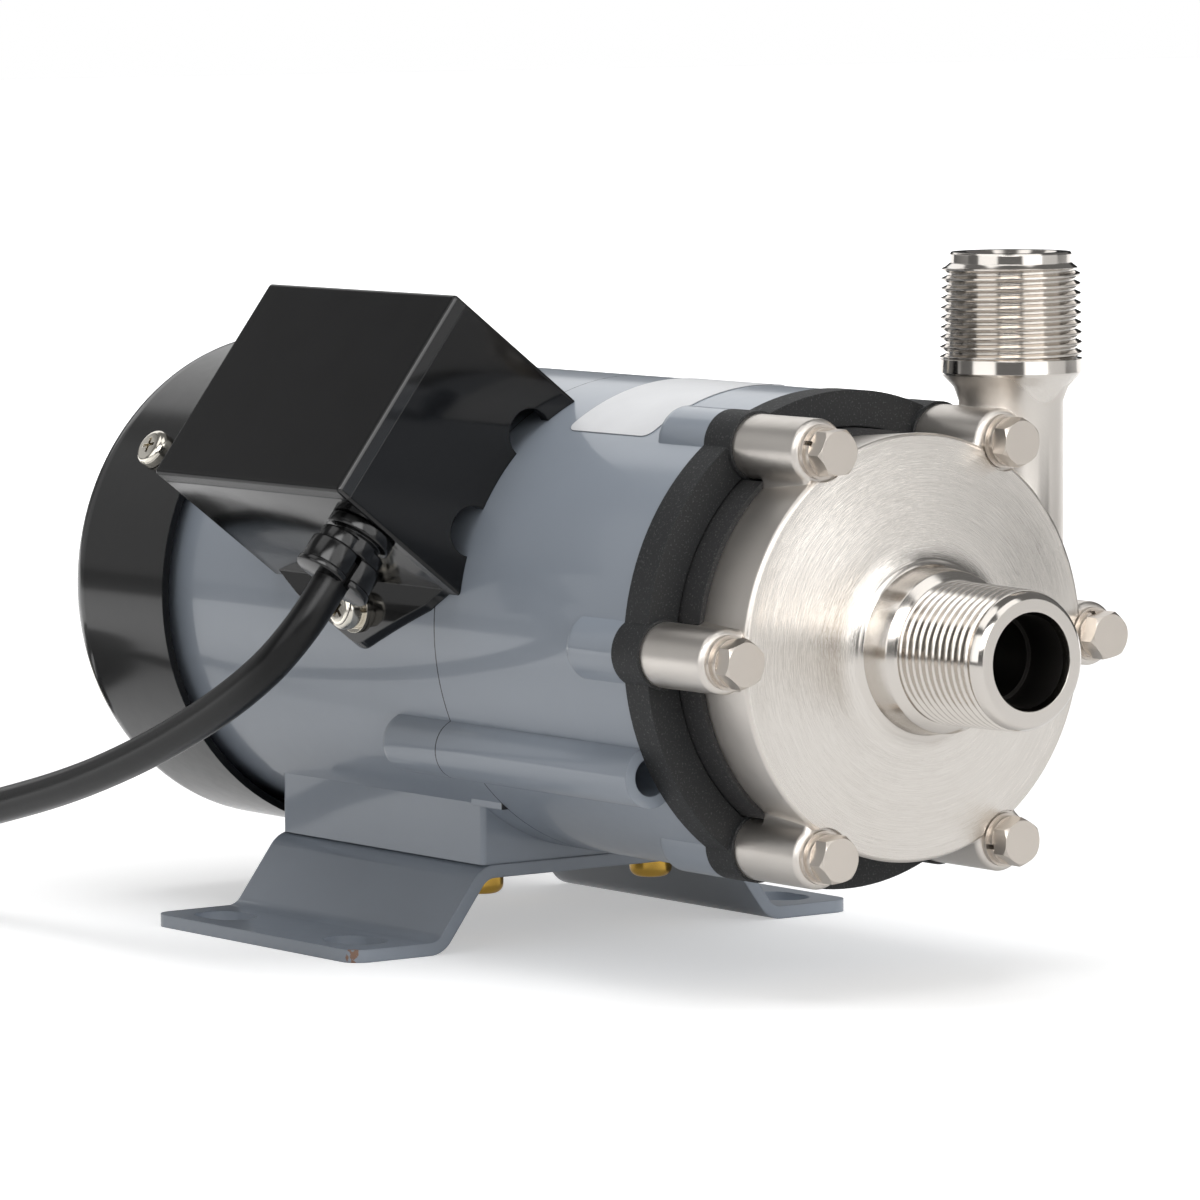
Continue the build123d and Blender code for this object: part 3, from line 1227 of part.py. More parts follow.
if __name__ == "__main__":
    NODES = {
        "pump_head": pump_head,
        "head_o_ring": head_o_ring,
        "head_bolts": head_bolts,
        "head_flat_washers": head_flat_washers,
        "head_spring_washers": head_spring_washers,
        "rear_casing": rear_casing,
        "spindle": spindle,
        "thrust_rings": thrust_rings,
        "impeller": impeller,
        "driven_magnet": driven_magnet,
        "impeller_bush": impeller_bush,
        "bracket": bracket,
        "front_housing": front_housing,
        "rear_housing": rear_housing,
        "tie_bolts": tie_bolts,
        "stator_core": stator_core,
        "stator_windings": stator_windings,
        "motor_shaft": motor_shaft,
        "rotor_core": rotor_core,
        "rotor_end_rings": rotor_end_rings,
        "drive_magnet_hub": drive_magnet_hub,
        "hub_set_screw": hub_set_screw,
        "drive_magnets": drive_magnets,
        "bearing_outer_rings": lambda: bearing_rings(outer=True),
        "bearing_inner_rings": lambda: bearing_rings(outer=False),
        "bearing_balls": bearing_balls,
        "wave_washer": wave_washer,
        "cooling_fan": cooling_fan,
        "fan_clip": fan_clip,
        "fan_cover": fan_cover,
        "fan_cover_screws": fan_cover_screws,
        "terminal_box": terminal_box,
        "terminal_box_lid": terminal_box_lid,
        "strain_relief": strain_relief,
        "box_screws": box_screws,
        "box_flat_washers": box_flat_washers,
        "box_spring_washers": box_spring_washers,
        "terminal_block": terminal_block,
        "run_capacitor": run_capacitor,
        "foot_plate": foot_plate,
        "foot_screws": foot_screws,
        "foot_spring_washers": foot_spring_washers,
        "power_cord": power_cord,
        "power_cord_coil": power_cord_coil,
        "cord_tie": cord_tie,
        "plug": plug,
        "plug_pins": plug_pins,
    }
    os.makedirs("parts", exist_ok=True)
    for name, build in NODES.items():
        export_step(build(), f"parts/{name}.step")
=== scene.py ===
# %% [markdown]
# # A magnetic drive pump
# The real thing is a small chemical pump. A stainless head with two threaded nozzles is bolted to a grey
# motor, and a can between them keeps the liquid in: the motor turns the impeller through it with magnets.
# The solid parts come from a CAD model. This lesson gives each of them its finish and makes again, in more
# detail, the pieces that a plain solid shows badly: threads, screw recesses, the cord and its plug.

# %% Load the CAD parts
import bpy
import json
import math
import random
from mathutils import Matrix, Vector

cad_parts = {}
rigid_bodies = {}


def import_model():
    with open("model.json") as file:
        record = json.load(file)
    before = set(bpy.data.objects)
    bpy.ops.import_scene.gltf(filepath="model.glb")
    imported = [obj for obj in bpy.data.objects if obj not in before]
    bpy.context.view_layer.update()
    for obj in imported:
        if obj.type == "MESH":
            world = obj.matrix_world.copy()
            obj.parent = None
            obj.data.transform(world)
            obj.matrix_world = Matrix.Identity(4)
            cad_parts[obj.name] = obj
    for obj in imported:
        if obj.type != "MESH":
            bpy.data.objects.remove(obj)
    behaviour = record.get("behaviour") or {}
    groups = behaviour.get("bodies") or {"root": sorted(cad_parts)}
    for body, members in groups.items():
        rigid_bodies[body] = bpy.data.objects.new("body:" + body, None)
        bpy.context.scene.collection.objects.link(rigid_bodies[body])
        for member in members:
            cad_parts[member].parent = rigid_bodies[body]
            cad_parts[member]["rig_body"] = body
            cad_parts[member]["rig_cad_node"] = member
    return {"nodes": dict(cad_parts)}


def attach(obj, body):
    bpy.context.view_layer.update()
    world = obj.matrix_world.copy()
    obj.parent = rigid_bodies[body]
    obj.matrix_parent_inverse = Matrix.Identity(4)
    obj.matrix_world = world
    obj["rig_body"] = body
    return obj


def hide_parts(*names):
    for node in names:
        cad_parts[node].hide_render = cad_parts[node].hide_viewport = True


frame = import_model()
bpy.context.view_layer.update()
cad = frame["nodes"]
random.seed(7)
MM = 0.001

# %% [markdown]
# ## The camera
# The photograph is taken with a long lens from a little above the shaft, from the side of the inlet. The
# angles and the distance were found by laying circles of the real object over the photograph. A camera that
# looks along its own -Z axis is easiest to place from three directions: back, right and up.

# %% Camera
SHAFT_HEIGHT = 63.5
SHAFT_Z = SHAFT_HEIGHT * MM
CAMERA_AZIMUTH, CAMERA_ELEVATION, CAMERA_ROLL = math.radians(53.75), math.radians(5.2), math.radians(-0.34)
CAMERA_TARGET = Vector((32.74, 0, 65.53)) * MM
CAMERA_DISTANCE = 1384.44 * MM
SENSOR_WIDTH, LENS = 36, 214.67


def camera_axes(azimuth, elevation, roll):
    """Right, up and back of a camera that looks at the object from this angle."""
    back = Vector((math.sin(azimuth) * math.cos(elevation), -math.cos(azimuth) * math.cos(elevation),
                   math.sin(elevation)))
    level = Vector((math.cos(azimuth), math.sin(azimuth), 0))
    upright = back.cross(level)
    right = level * math.cos(roll) + upright * math.sin(roll)
    return right, back.cross(right), back


def facing_pump(azimuth, elevation, roll, distance):
    """The matrix of a camera or a lamp that looks at the object from a distance."""
    axes = camera_axes(azimuth, elevation, roll)
    return Matrix.Translation(CAMERA_TARGET + axes[2] * distance) @ Matrix(axes).transposed().to_4x4()


camera = bpy.data.objects.new("camera", bpy.data.cameras.new("camera"))
bpy.context.scene.collection.objects.link(camera)
camera.matrix_world = facing_pump(CAMERA_AZIMUTH, CAMERA_ELEVATION, CAMERA_ROLL, CAMERA_DISTANCE)
camera.data.sensor_width, camera.data.lens = SENSOR_WIDTH, LENS
camera.data.clip_start, camera.data.clip_end = 0.05, 30
bpy.context.scene.camera = camera
print("camera at", [round(v, 4) for v in camera.matrix_world.translation])

# %% [markdown]
# ## The power cord
# A mains lead is one flexible length, so it is one smooth curve: a NURBS spline whose control points are
# the corners that the lead rounds. It leaves the strain relief downwards, hangs to the floor behind the
# motor, and the rest of it is wound into a neat coil, as when a new machine is stored. The turns of the
# coil lie in two layers, three below and two in the grooves above them, and the end comes out over the top.

# %% The stretch of the cord that the photograph shows
CORD_R = 3.5
CORD_START = (43.0, -66.75, 77.6)
CORD_HANG = [
    (43.0, -72.7, 69.6), (39.6, -77.1, 62.1), (33.2, -79.3, 56.0), (18.5, -79.8, 48.1), (-5.0, -80.0, 38.3),
    (-32.0, -80.0, 29.5), (-62.0, -80.3, 22.2), (-93.0, -83.0, 15.2), (-117.0, -88.5, 8.0),
    (-140.0, -95.5, 3.5),
]
print("points on the hang", len(CORD_HANG))

# %% The turns of the coil
COIL_CENTRE = (-196.0, -66.0)
COIL_POINTS = 84
OUTER_TURN_R = 45.0
LEAD_IN_ANGLE, LEAD_OUT_TURN = -72.5, 1907.5
TURNS = [  # clockwise turn in degrees, radius and height of the centre line
    (0, 45, 3.5), (290, 45, 3.5), (360, 38, 3.5), (650, 38, 3.5), (720, 31, 3.5), (945, 31, 3.5),
    (1005, 31, 10.0), (1050, 32.8, 10.8), (1085, 34.5, 10.0), (1372, 34.5, 10.0), (1440, 41.5, 10.0),
    (1705, 41.5, 10.0), (1740, 43.2, 10.0), (1770, 45.7, 10.8), (1800, 47.0, 14.4), (1830, 46.0, 15.9),
    (1860, 45.2, 16.3), (1908, 45, 16.3),
]
TIE_TURN, TIE_LIFT, TIE_REACH = 197.5, 1.2, 55.0


def along(table, turn):
    """Radius and height of the coil at a turn, between the rows of the table."""
    for (t0, *low), (t1, *high) in zip(table, table[1:]):
        if turn <= t1:
            share = (turn - t0) / (t1 - t0)
            return [a + (b - a) * share for a, b in zip(low, high)]
    return list(table[-1][1:])


def on_coil(reach, angle):
    """The spot at a distance from the middle of the coil, at an angle in degrees."""
    angle = math.radians(angle)
    return COIL_CENTRE[0] + reach * math.cos(angle), COIL_CENTRE[1] + reach * math.sin(angle)


coil_points = []
step = LEAD_OUT_TURN / COIL_POINTS
for k in range(COIL_POINTS):
    turn = (k + 0.5) * step
    radius, height = along(TURNS, turn)
    from_tie = abs((turn - TIE_TURN + 180) % 360 - 180)
    height += TIE_LIFT * max(0, 1 - (from_tie / TIE_REACH) ** 2)
    reach = radius / math.cos(math.radians(step / 2))
    coil_points.append((*on_coil(reach, LEAD_IN_ANGLE - turn), height))
print("coil points", len(coil_points))

# %% One spline for the whole cord
lead_out = [(-241.0, -66.0, 16.2), (-241.0, -56.0, 14.0), (-241.0, -47.0, 10.6), (-241.0, -40.0, 9.9),
            (-241.0, -33.0, 9.9)]
touch = (*on_coil(OUTER_TURN_R, LEAD_IN_ANGLE), CORD_R)
lead_in = [tuple(a + (b - a) * share for a, b in zip(CORD_HANG[-1], touch)) for share in (0.4, 0.75)]
route = [CORD_START, *CORD_HANG, *lead_in, *coil_points, *lead_out]
cord_curve = bpy.data.curves.new("cord", "CURVE")
cord_curve.dimensions = "3D"
spline = cord_curve.splines.new("NURBS")
spline.points.add(len(route) - 1)
for point, place in zip(spline.points, route):
    point.co = (*(v * MM for v in place), 1)
    point.radius = CORD_R * MM
spline.order_u = 3
spline.use_endpoint_u = True
spline.resolution_u = 6
cord_curve.bevel_depth = 1.0  # times the radius of each point
cord_curve.bevel_resolution = 5
cord_curve.use_fill_caps = True
cord = bpy.data.objects.new("mains_cord", cord_curve)
bpy.context.scene.collection.objects.link(cord)
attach(cord, "pump_base")
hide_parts("power_cord", "power_cord_coil")
print("control points", len(route))

# %% [markdown]
# ## Floor, background and light
# The pump stands on a pale floor before a white background. One large soft lamp hangs above it, and bright
# panels are drawn in the world all round, some of them for reflections alone, so that paint and steel show
# broad bands. For the camera the floor adds a little light of its own, which takes it to white without more
# light on the pump, and the shadow under the foot stays. In reflections the floor glows as well, a painted
# reflection that is stronger behind the motor, and far out in front it is painted near black, a painted
# shade.

# %% The light of the studio
ROOM_LIGHT = 0.42
# Each panel has its azimuth, its elevation, its half width and half height as tangents, and its strength.
DARK_CORNER = (-128, 3, 0.50, 0.24, 0.85)
PANELS = [
    (92, 14, 0.30, 0.42, 1.9),
    (128, 14, 0.35, 0.32, 0.6),
]
GLOSS_PANELS = [  # only for reflections
    (-60, 15, 0.36, 0.22, 0.4),
    (6, 12, 0.30, 0.42, 1.5),
    (-112, 30, 0.34, 0.22, 1.1),
    (48, 30, 0.25, 0.20, 5.0),
    (-15, 64, 0.26, 0.24, 1.3),
    (105, 64, 0.26, 0.24, 1.3),
]
LAMP_AZIMUTH, LAMP_ELEVATION, LAMP_DISTANCE = math.radians(40), math.radians(84), 1.5
LAMP_SIZE, LAMP_WATTS = (1.2, 1.0), 13
print("panels", len(PANELS), "and for reflections alone", len(GLOSS_PANELS))

# %% [markdown]
# ## Shader maths
# Light and finishes follow sums of places and noise. Wired by hand, each sum is a web of Math nodes. Here one
# small class lets a socket be added, multiplied and compared like a number, and a second one adds any other
# node in one call, so that a finish reads like a recipe.

# %% Shader maths
class Value:
    """A socket or number in shader maths: adding, taking and multiplying values adds Math nodes."""

    def __init__(self, tree, socket):
        self.tree, self.socket = tree, socket

    def _join(self, operation, *operands):
        made = self.tree.nodes.new("ShaderNodeMath")
        made.operation = operation
        for place, operand in enumerate(operands):
            if isinstance(operand, Value):
                self.tree.links.new(operand.socket, made.inputs[place])
            else:
                made.inputs[place].default_value = operand
        return Value(self.tree, made.outputs[0])

    def __add__(self, other):
        return self._join("ADD", self, other)

    def __radd__(self, other):
        return self._join("ADD", other, self)

    def __sub__(self, other):
        return self._join("SUBTRACT", self, other)

    def __rsub__(self, other):
        return self._join("SUBTRACT", other, self)

    def __mul__(self, other):
        return self._join("MULTIPLY", self, other)

    def __rmul__(self, other):
        return self._join("MULTIPLY", other, self)

    def __truediv__(self, other):
        return self._join("DIVIDE", self, other)

    def __pow__(self, other):
        return self._join("POWER", self, other)

    def __gt__(self, other):
        return self._join("GREATER_THAN", self, other)

    def __lt__(self, other):
        return self._join("LESS_THAN", self, other)

    def __abs__(self):
        return self._join("ABSOLUTE", self)


def linear(*rgb):
    """A colour as a screen shows it, 0 to 255, in the linear values that shaders use."""
    return tuple((c / 255 / 12.92) if c <= 10 else ((c / 255 + 0.055) / 1.055) ** 2.4 for c in rgb) + (1.0,)


class Shading:
    """A node tree, with short ways to add nodes to it."""

    def __init__(self, tree):
        self.tree = tree
        tree.nodes.clear()

    def put(self, socket, value):
        """Feeds a socket with a value, a number or a colour."""
        if isinstance(value, Value):
            self.tree.links.new(value.socket, socket)
        else:
            socket.default_value = value

    def add(self, kind, settings=None, sockets=None):
        """Adds a node, its settings first, then its sockets."""
        made = self.tree.nodes.new("ShaderNode" + kind)
        for key, value in (settings or {}).items():
            setattr(made, key, value)
        for key, value in (sockets or {}).items():
            self.put(made.inputs[key], value)
        return made

    def node(self, kind, settings=None, sockets=None, out=0):
        """Adds a node and gives back one of its outputs."""
        return Value(self.tree, self.add(kind, settings, sockets).outputs[out])

    def split(self, vector):
        """The three components of a vector."""
        made = self.add("SeparateXYZ", {}, {0: vector})
        return [Value(self.tree, made.outputs[k]) for k in range(3)]

    def noise(self, vector, scale, detail=3.0, roughness=0.55):
        """Noise from 0 to 1, with its scale in waves to the metre."""
        return self.node("TexNoise", {}, {"Vector": vector, "Scale": scale, "Detail": detail,
                                          "Roughness": roughness})

    def step(self, value, low, high, low_out=0.0, high_out=1.0):
        """A smooth step from low to high."""
        return self.node("MapRange", {"interpolation_type": "SMOOTHSTEP"},
                         {0: value, 1: low, 2: high, 3: low_out, 4: high_out})

    def blend(self, share, first, second):
        """A colour between two colours."""
        return self.node("Mix", {"data_type": "RGBA"}, {0: share, 6: first, 7: second}, 2)

    def rays(self):
        """Whether light is looked up for the camera, and whether for a reflection."""
        path = self.add("LightPath")
        return [Value(self.tree, path.outputs[ray]) for ray in ("Is Camera Ray", "Is Glossy Ray")]


class Finish(Shading):
    """One material: its node tree and its Principled shader."""

    def __init__(self, name, **uniform):
        self.material = bpy.data.materials.new(name)
        self.material.use_nodes = True
        super().__init__(self.material.node_tree)
        self.output = self.add("OutputMaterial")
        self.shader = self.add("BsdfPrincipled", {}, {key.replace("_", " "): v for key, v in uniform.items()})
        self.tree.links.new(self.shader.outputs[0], self.output.inputs["Surface"])

    def place(self):
        """Object coordinates as a vector and as X, Y and Z in millimetres."""
        point = self.node("TexCoord", out="Object")
        return point, [part * 1000 for part in self.split(point)]

    def bump(self, height, depth, normal=None):
        """A bump whose height is in millimetres times depth."""
        sockets = {"Height": height, "Distance": depth * MM, "Strength": 1.0}
        if normal is not None:
            sockets["Normal"] = normal
        return self.node("Bump", {}, sockets)

    def rounded(self, radius):
        """The normal of edges broken by a small radius in millimetres."""
        return self.node("Bevel", {"samples": 4}, {"Radius": radius * MM})

    def feed(self, **sockets):
        """Feeds the shader's sockets and gives back the material."""
        for socket, value in sockets.items():
            self.put(self.shader.inputs[socket.replace("_", " ")], value)
        return self.material


def from_axis(first, second):
    """Distance from an axis, from two coordinates that are measured from it."""
    return (first * first + second * second) ** 0.5


print("shader helpers ready")

# %% Floor
FLOOR_SIZE = 16
FLOOR_EDGE, FLOOR_FRONT, TURNS_WHITE = 750, (100, 380), (350, 1500)
bpy.ops.object.select_all(action="DESELECT")
bpy.ops.mesh.primitive_plane_add(size=FLOOR_SIZE)
floor = bpy.context.object
floor.name = "floor"
finish = Finish("floor_white")
point, (x, y, z) = finish.place()
from_pump = from_axis(x, y)
in_front = finish.step(-1 * y, *FLOOR_FRONT)
# Far out in front the floor is painted near black: a painted shade that darkens what the pump reflects.
beyond = in_front * finish.step(from_pump, FLOOR_EDGE * 0.85, FLOOR_EDGE * 1.15)
white = finish.blend(finish.noise(point, 3), (0.80, 0.80, 0.80, 1), (0.83, 0.83, 0.83, 1))
finish.feed(Base_Color=finish.blend(beyond, white, (0.06, 0.06, 0.06, 1)),
            Roughness=0.7 + 0.1 * finish.noise(point, 40))
by_camera, by_gloss = finish.rays()
to_camera = by_camera * finish.step(from_pump, *TURNS_WHITE, 0.42, 1.0)
# In reflections the floor glows, more behind the motor than before the head: a painted reflection.
mirrored = finish.step(x, -60, 60, 0.40, 0.12) + finish.step(x, -200, -110, 0.5, 0.0)
to_gloss = by_gloss * (1 - beyond) * mirrored
glow = finish.add("Emission", {}, {"Color": (1, 1, 1, 1), "Strength": to_camera + to_gloss})
both = finish.add("AddShader")
finish.tree.links.new(finish.shader.outputs[0], both.inputs[0])
finish.tree.links.new(glow.outputs[0], both.inputs[1])
finish.tree.links.new(both.outputs[0], finish.output.inputs["Surface"])
floor.data.materials.append(finish.material)

# %% World
world = bpy.data.worlds.new("studio")
bpy.context.scene.world = world
world.use_nodes = True
sky = Shading(world.node_tree)
x, y, z = sky.split(sky.node("TexCoord", out="Generated"))


def panel(azimuth, elevation, half_width, half_height, strength, soft=0.12):
    """A soft-edged bright panel in one direction, its half sizes as tangents of angles."""
    right, up, back = camera_axes(math.radians(azimuth), math.radians(elevation), 0)
    across, above, facing_it = (x * axis.x + y * axis.y + z * axis.z for axis in (right, up, back))
    inside = sky.step(facing_it, 0.05, 0.1)
    for offset, half in ((across, half_width), (above, half_height)):
        inside = inside * sky.step(abs(offset) / facing_it, half, half + soft, 1.0, 0.0)
    return inside * strength


by_camera, by_gloss = sky.rays()
light = ROOM_LIGHT * (1 - by_gloss * 0.6) * (1 - by_gloss * panel(*DARK_CORNER))
for values in PANELS:
    light = light + panel(*values)
for values in GLOSS_PANELS:
    light = light + by_gloss * panel(*values)
shown = sky.add("Background", {}, {"Color": (1, 1, 1, 1), "Strength": light * (1 - by_camera) + by_camera})
sky.tree.links.new(shown.outputs[0], sky.add("OutputWorld").inputs["Surface"])

# %% Lamp
soft_light = bpy.data.lights.new("lamp_top", "AREA")
soft_light.shape = "RECTANGLE"
soft_light.size, soft_light.size_y = LAMP_SIZE
soft_light.energy = LAMP_WATTS
lamp = bpy.data.objects.new("lamp_top", soft_light)
lamp.visible_glossy = False
bpy.context.scene.collection.objects.link(lamp)
lamp.matrix_world = facing_pump(LAMP_AZIMUTH, LAMP_ELEVATION, 0, LAMP_DISTANCE)
print("lamp at", [round(v, 2) for v in lamp.matrix_world.translation])

# %% [markdown]
# ## Pieces modelled again
# Some pieces need more than the CAD solid shows: the nozzles with their threads, the box's tabs, the cross
# recessed screws, the strain relief, the sticker, the tie of the coil and the plug. Most start from a
# primitive, are shaped where that is easiest, and are then put in place by a matrix on their mesh.

# %% Modelling helpers
def select_only(*pieces):
    """Selects just these pieces, in object mode, and makes the first of them active."""
    if bpy.context.object and bpy.context.object.mode != "OBJECT":
        bpy.ops.object.mode_set(mode="OBJECT")
    bpy.ops.object.select_all(action="DESELECT")
    for piece in pieces:
        piece.select_set(True)
    if pieces:
        bpy.context.view_layer.objects.active = pieces[0]


def edit_all():
    """Goes to edit mode with the whole mesh selected."""
    bpy.ops.object.mode_set(mode="EDIT")
    bpy.ops.mesh.select_all(action="SELECT")


def start_mesh(kind, name, **sizes):
    """Adds a primitive with nothing else selected, and names it."""
    select_only()
    getattr(bpy.ops.mesh, "primitive_" + kind + "_add")(**sizes)
    bpy.context.object.name = name
    return bpy.context.object


def pick(made, test, kind="FACE"):
    """Goes to edit mode with just the faces, edges or vertices selected whose place passes the test."""
    bpy.ops.object.mode_set(mode="EDIT")
    bpy.ops.mesh.select_mode(type=kind)
    bpy.ops.mesh.select_all(action="DESELECT")
    bpy.ops.object.mode_set(mode="OBJECT")
    mesh = made.data
    if kind == "FACE":
        for face in mesh.polygons:
            face.select = test(face)
    elif kind == "EDGE":
        for edge in mesh.edges:
            edge.select = test([mesh.vertices[k].co for k in edge.vertices])
    else:
        for vertex in mesh.vertices:
            vertex.select = test(vertex.co)
    bpy.ops.object.mode_set(mode="EDIT")


def join(pieces, name):
    """Makes one object of several, with their places in its mesh."""
    select_only(*pieces)
    bpy.ops.object.transform_apply(location=True, rotation=True, scale=True)
    if len(pieces) > 1:
        bpy.ops.object.join()
    bpy.context.object.name = name
    return bpy.context.object


def modify(made, kind, **settings):
    """Adds a modifier to a piece and applies it."""
    act = made.modifiers.new(kind.lower(), kind)
    for key, value in settings.items():
        setattr(act, key, value)
    bpy.context.view_layer.objects.active = made
    bpy.ops.object.modifier_apply(modifier=act.name)


def cut(made, tool):
    """Cuts a piece with another one, which is then gone."""
    modify(made, "BOOLEAN", operation="DIFFERENCE", object=tool, solver="EXACT")
    bpy.data.objects.remove(tool)


def point_outwards():
    """Turns all faces of the active piece outwards."""
    edit_all()
    bpy.ops.mesh.normals_make_consistent(inside=False)
    bpy.ops.object.mode_set(mode="OBJECT")


def smooth(made, angle=32):
    """Smooth shading, apart from edges sharper than the angle."""
    select_only(made)
    bpy.ops.object.shade_smooth_by_angle(angle=math.radians(angle))
    return made


def copies(model, places, name):
    """Copies of a finished model, each with its own mesh, joined into one piece."""
    made = []
    for place in places:
        one = model.copy()
        one.data = model.data.copy()
        one.data.transform(place)
        bpy.context.scene.collection.objects.link(one)
        made.append(one)
    return smooth(join(made, name))


def facing(out, spot, spin=0.0):
    """The matrix that puts a model's +Z along a direction, at a spot in millimetres."""
    turn = Vector(out).to_track_quat("Z", "Y").to_matrix().to_4x4()
    return Matrix.Translation(Vector(spot) * MM) @ turn @ Matrix.Rotation(spin, 4, "Z")


def keep(piece, slot, *replaced):
    """Puts a finished piece on the pump's base, hides the CAD nodes it stands for and prints its faces; the
    slot is not used.
    """
    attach(piece, "pump_base")
    if replaced:
        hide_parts(*replaced)
    print(piece.name, "faces", len(piece.data.polygons))
    return piece


# %% [markdown]
# ## Nozzle threads
# Both nozzles carry a three quarter inch taper pipe thread, 14 to the inch. A thread is one small profile
# carried round and along an axis, which is what the Screw modifier does. The profile is extruded from a
# single vertex, and after the modifier the ends are cut flat, tapered, and closed by a wall inside. The plain
# chamfered lead beyond each thread belongs to the outline of the head, which comes next.

# %% The profile and its helix
PITCH = 1.814 * MM
THREAD_DEPTH = 1.12 * MM
CREST_R = 13.22 * MM
THREAD_TAPER = -0.38 / 13.22
THREAD_SEGMENTS = 80
END_WALL = 0.88
# Outwards in thread depths and along in pitches: half a root, two flanks about the crest, half a root.
THREAD_STEPS = [(0, 0.10), (0.5, 0.15), (0.5, 0.15), (0, 0.20), (-0.5, 0.15), (-0.5, 0.15), (0, 0.10)]


def threaded_length(name, length):
    """A tapered thread that stands on the origin along +Z, closed inside."""
    made = start_mesh("plane", name, size=PITCH)
    bpy.ops.object.mode_set(mode="EDIT")
    bpy.ops.mesh.select_mode(type="VERT")
    bpy.ops.mesh.select_all(action="SELECT")
    bpy.ops.mesh.merge(type="CENTER")
    bpy.ops.transform.translate(value=(CREST_R - THREAD_DEPTH, 0, -PITCH))
    for outward, share in THREAD_STEPS:
        step = (outward * THREAD_DEPTH, 0, share * PITCH)
        bpy.ops.mesh.extrude_region_move(TRANSFORM_OT_translate={"value": step})
    bpy.ops.object.mode_set(mode="OBJECT")
    modify(made, "SCREW", axis="Z", angle=math.tau, screw_offset=PITCH, steps=THREAD_SEGMENTS,
           render_steps=THREAD_SEGMENTS, iterations=int(length / PITCH) + 3, use_merge_vertices=True,
           merge_threshold=1e-6)
    edit_all()
    bpy.ops.mesh.remove_doubles(threshold=2e-6)
    for height, above in ((0, False), (length, True)):
        bpy.ops.mesh.select_all(action="SELECT")
        bpy.ops.mesh.bisect(plane_co=(0, 0, height), plane_no=(0, 0, 1), clear_outer=above,
                            clear_inner=not above, threshold=1e-7)
    bpy.ops.object.mode_set(mode="OBJECT")
    modify(made, "SIMPLE_DEFORM", deform_method="TAPER", deform_axis="Z", factor=THREAD_TAPER)
    bpy.ops.object.mode_set(mode="EDIT")
    bpy.ops.mesh.select_mode(type="EDGE")
    bpy.ops.mesh.select_all(action="DESELECT")
    bpy.ops.mesh.select_non_manifold(use_wire=False, use_multi_face=False, use_non_contiguous=False,
                                     use_verts=False)
    bpy.ops.mesh.extrude_region_move()
    bpy.ops.transform.resize(value=(END_WALL, END_WALL, 1), center_override=(0, 0, 0))
    bpy.ops.mesh.bridge_edge_loops()
    point_outwards()
    reach = [v.co.xy.length for v in made.data.vertices]
    print(name, "vertices", len(made.data.vertices), "largest radius", round(max(reach) / MM, 2))
    return made


# %% [markdown]
# ## Pump head
# The cast head comes from the CAD model, where the nozzles are plain at the size of the crests. In a copy of
# it the outer faces of the nozzles are deleted. Each open edge is then carried along its axis by extruding it
# ring by ring through the radii of a profile, and bridged to the tip: the inlet gets the hollow blend, the
# rounded lip and the slightly tapered neck of a turned hub, and slim cores make room for the threads.

# %% The profiles of the two nozzles
INLET_PROFILE = [  # place along the shaft and radius, from the face to the core under the thread
    (132.50, 21.0), (132.56, 20.2), (132.68, 19.3), (132.92, 18.4), (133.22, 17.6), (133.60, 16.95),
    (133.82, 16.66), (134.00, 16.36), (134.16, 15.95), (134.42, 15.62), (134.80, 15.50), (139.90, 14.95),
    (140.15, 14.80), (141.30, 13.30), (141.45, 11.90), (160.95, 11.70), (161.00, 12.62), (162.10, 12.28),
    (162.75, 11.92),
]
INLET_FOOT, INLET_THREAD = (132.43, 22.05), (141.2, 161.1)
INLET_TIP, INLET_TIP_SHIFT, INLET_TIP_CAD_R = (163.2, 11.3), 1.2, 11.4
OUTLET_PROFILE = [
    (115.05, 12.6), (115.20, 11.90), (131.70, 11.70), (131.75, 12.45), (132.55, 11.45), (132.70, 11.32),
    (134.35, 11.28),
]
OUTLET_FOOT, OUTLET_THREAD = (115.0, 13.22), (114.9, 131.9)
OUTLET_TIP, OUTLET_TIP_CAD_R = (134.7, 11.05), 11.6
OUTLET_SPOT = (120.5, 30.5)
HEIGHT_SLACK, RADIUS_SLACK = 0.03, 0.06


def to_nozzle(co, nozzle):
    """Height along a nozzle and distance from its axis, in millimetres."""
    if nozzle == "inlet":
        return co.x / MM, math.hypot(co.y / MM, co.z / MM - SHAFT_HEIGHT)
    return co.z / MM, math.hypot(co.x / MM - OUTLET_SPOT[0], co.y / MM - OUTLET_SPOT[1])


def move_ring(made, nozzle, height, reach):
    """Puts the selected vertices on a ring of this height and radius, each at its own angle."""
    centre = Vector((0, 0, SHAFT_Z)) if nozzle == "inlet" else Vector((*OUTLET_SPOT, 0)) * MM
    axis = Vector((1, 0, 0)) if nozzle == "inlet" else Vector((0, 0, 1))
    for vertex in made.data.vertices:
        if vertex.select:
            out = vertex.co - centre
            out -= axis * out.dot(axis)
            vertex.co = centre + axis * height * MM + out.normalized() * reach * MM


def on_rings(made, nozzle, *rings):
    """A test that picks edges that lie whole on one of some rings of known height and radius."""
    def test(ends):
        spots = [to_nozzle(co, nozzle) for co in ends]
        return any(all(abs(spot[0] - ring[0]) < HEIGHT_SLACK and abs(spot[1] - ring[1]) < RADIUS_SLACK
                       for spot in spots) for ring in rings)

    return test


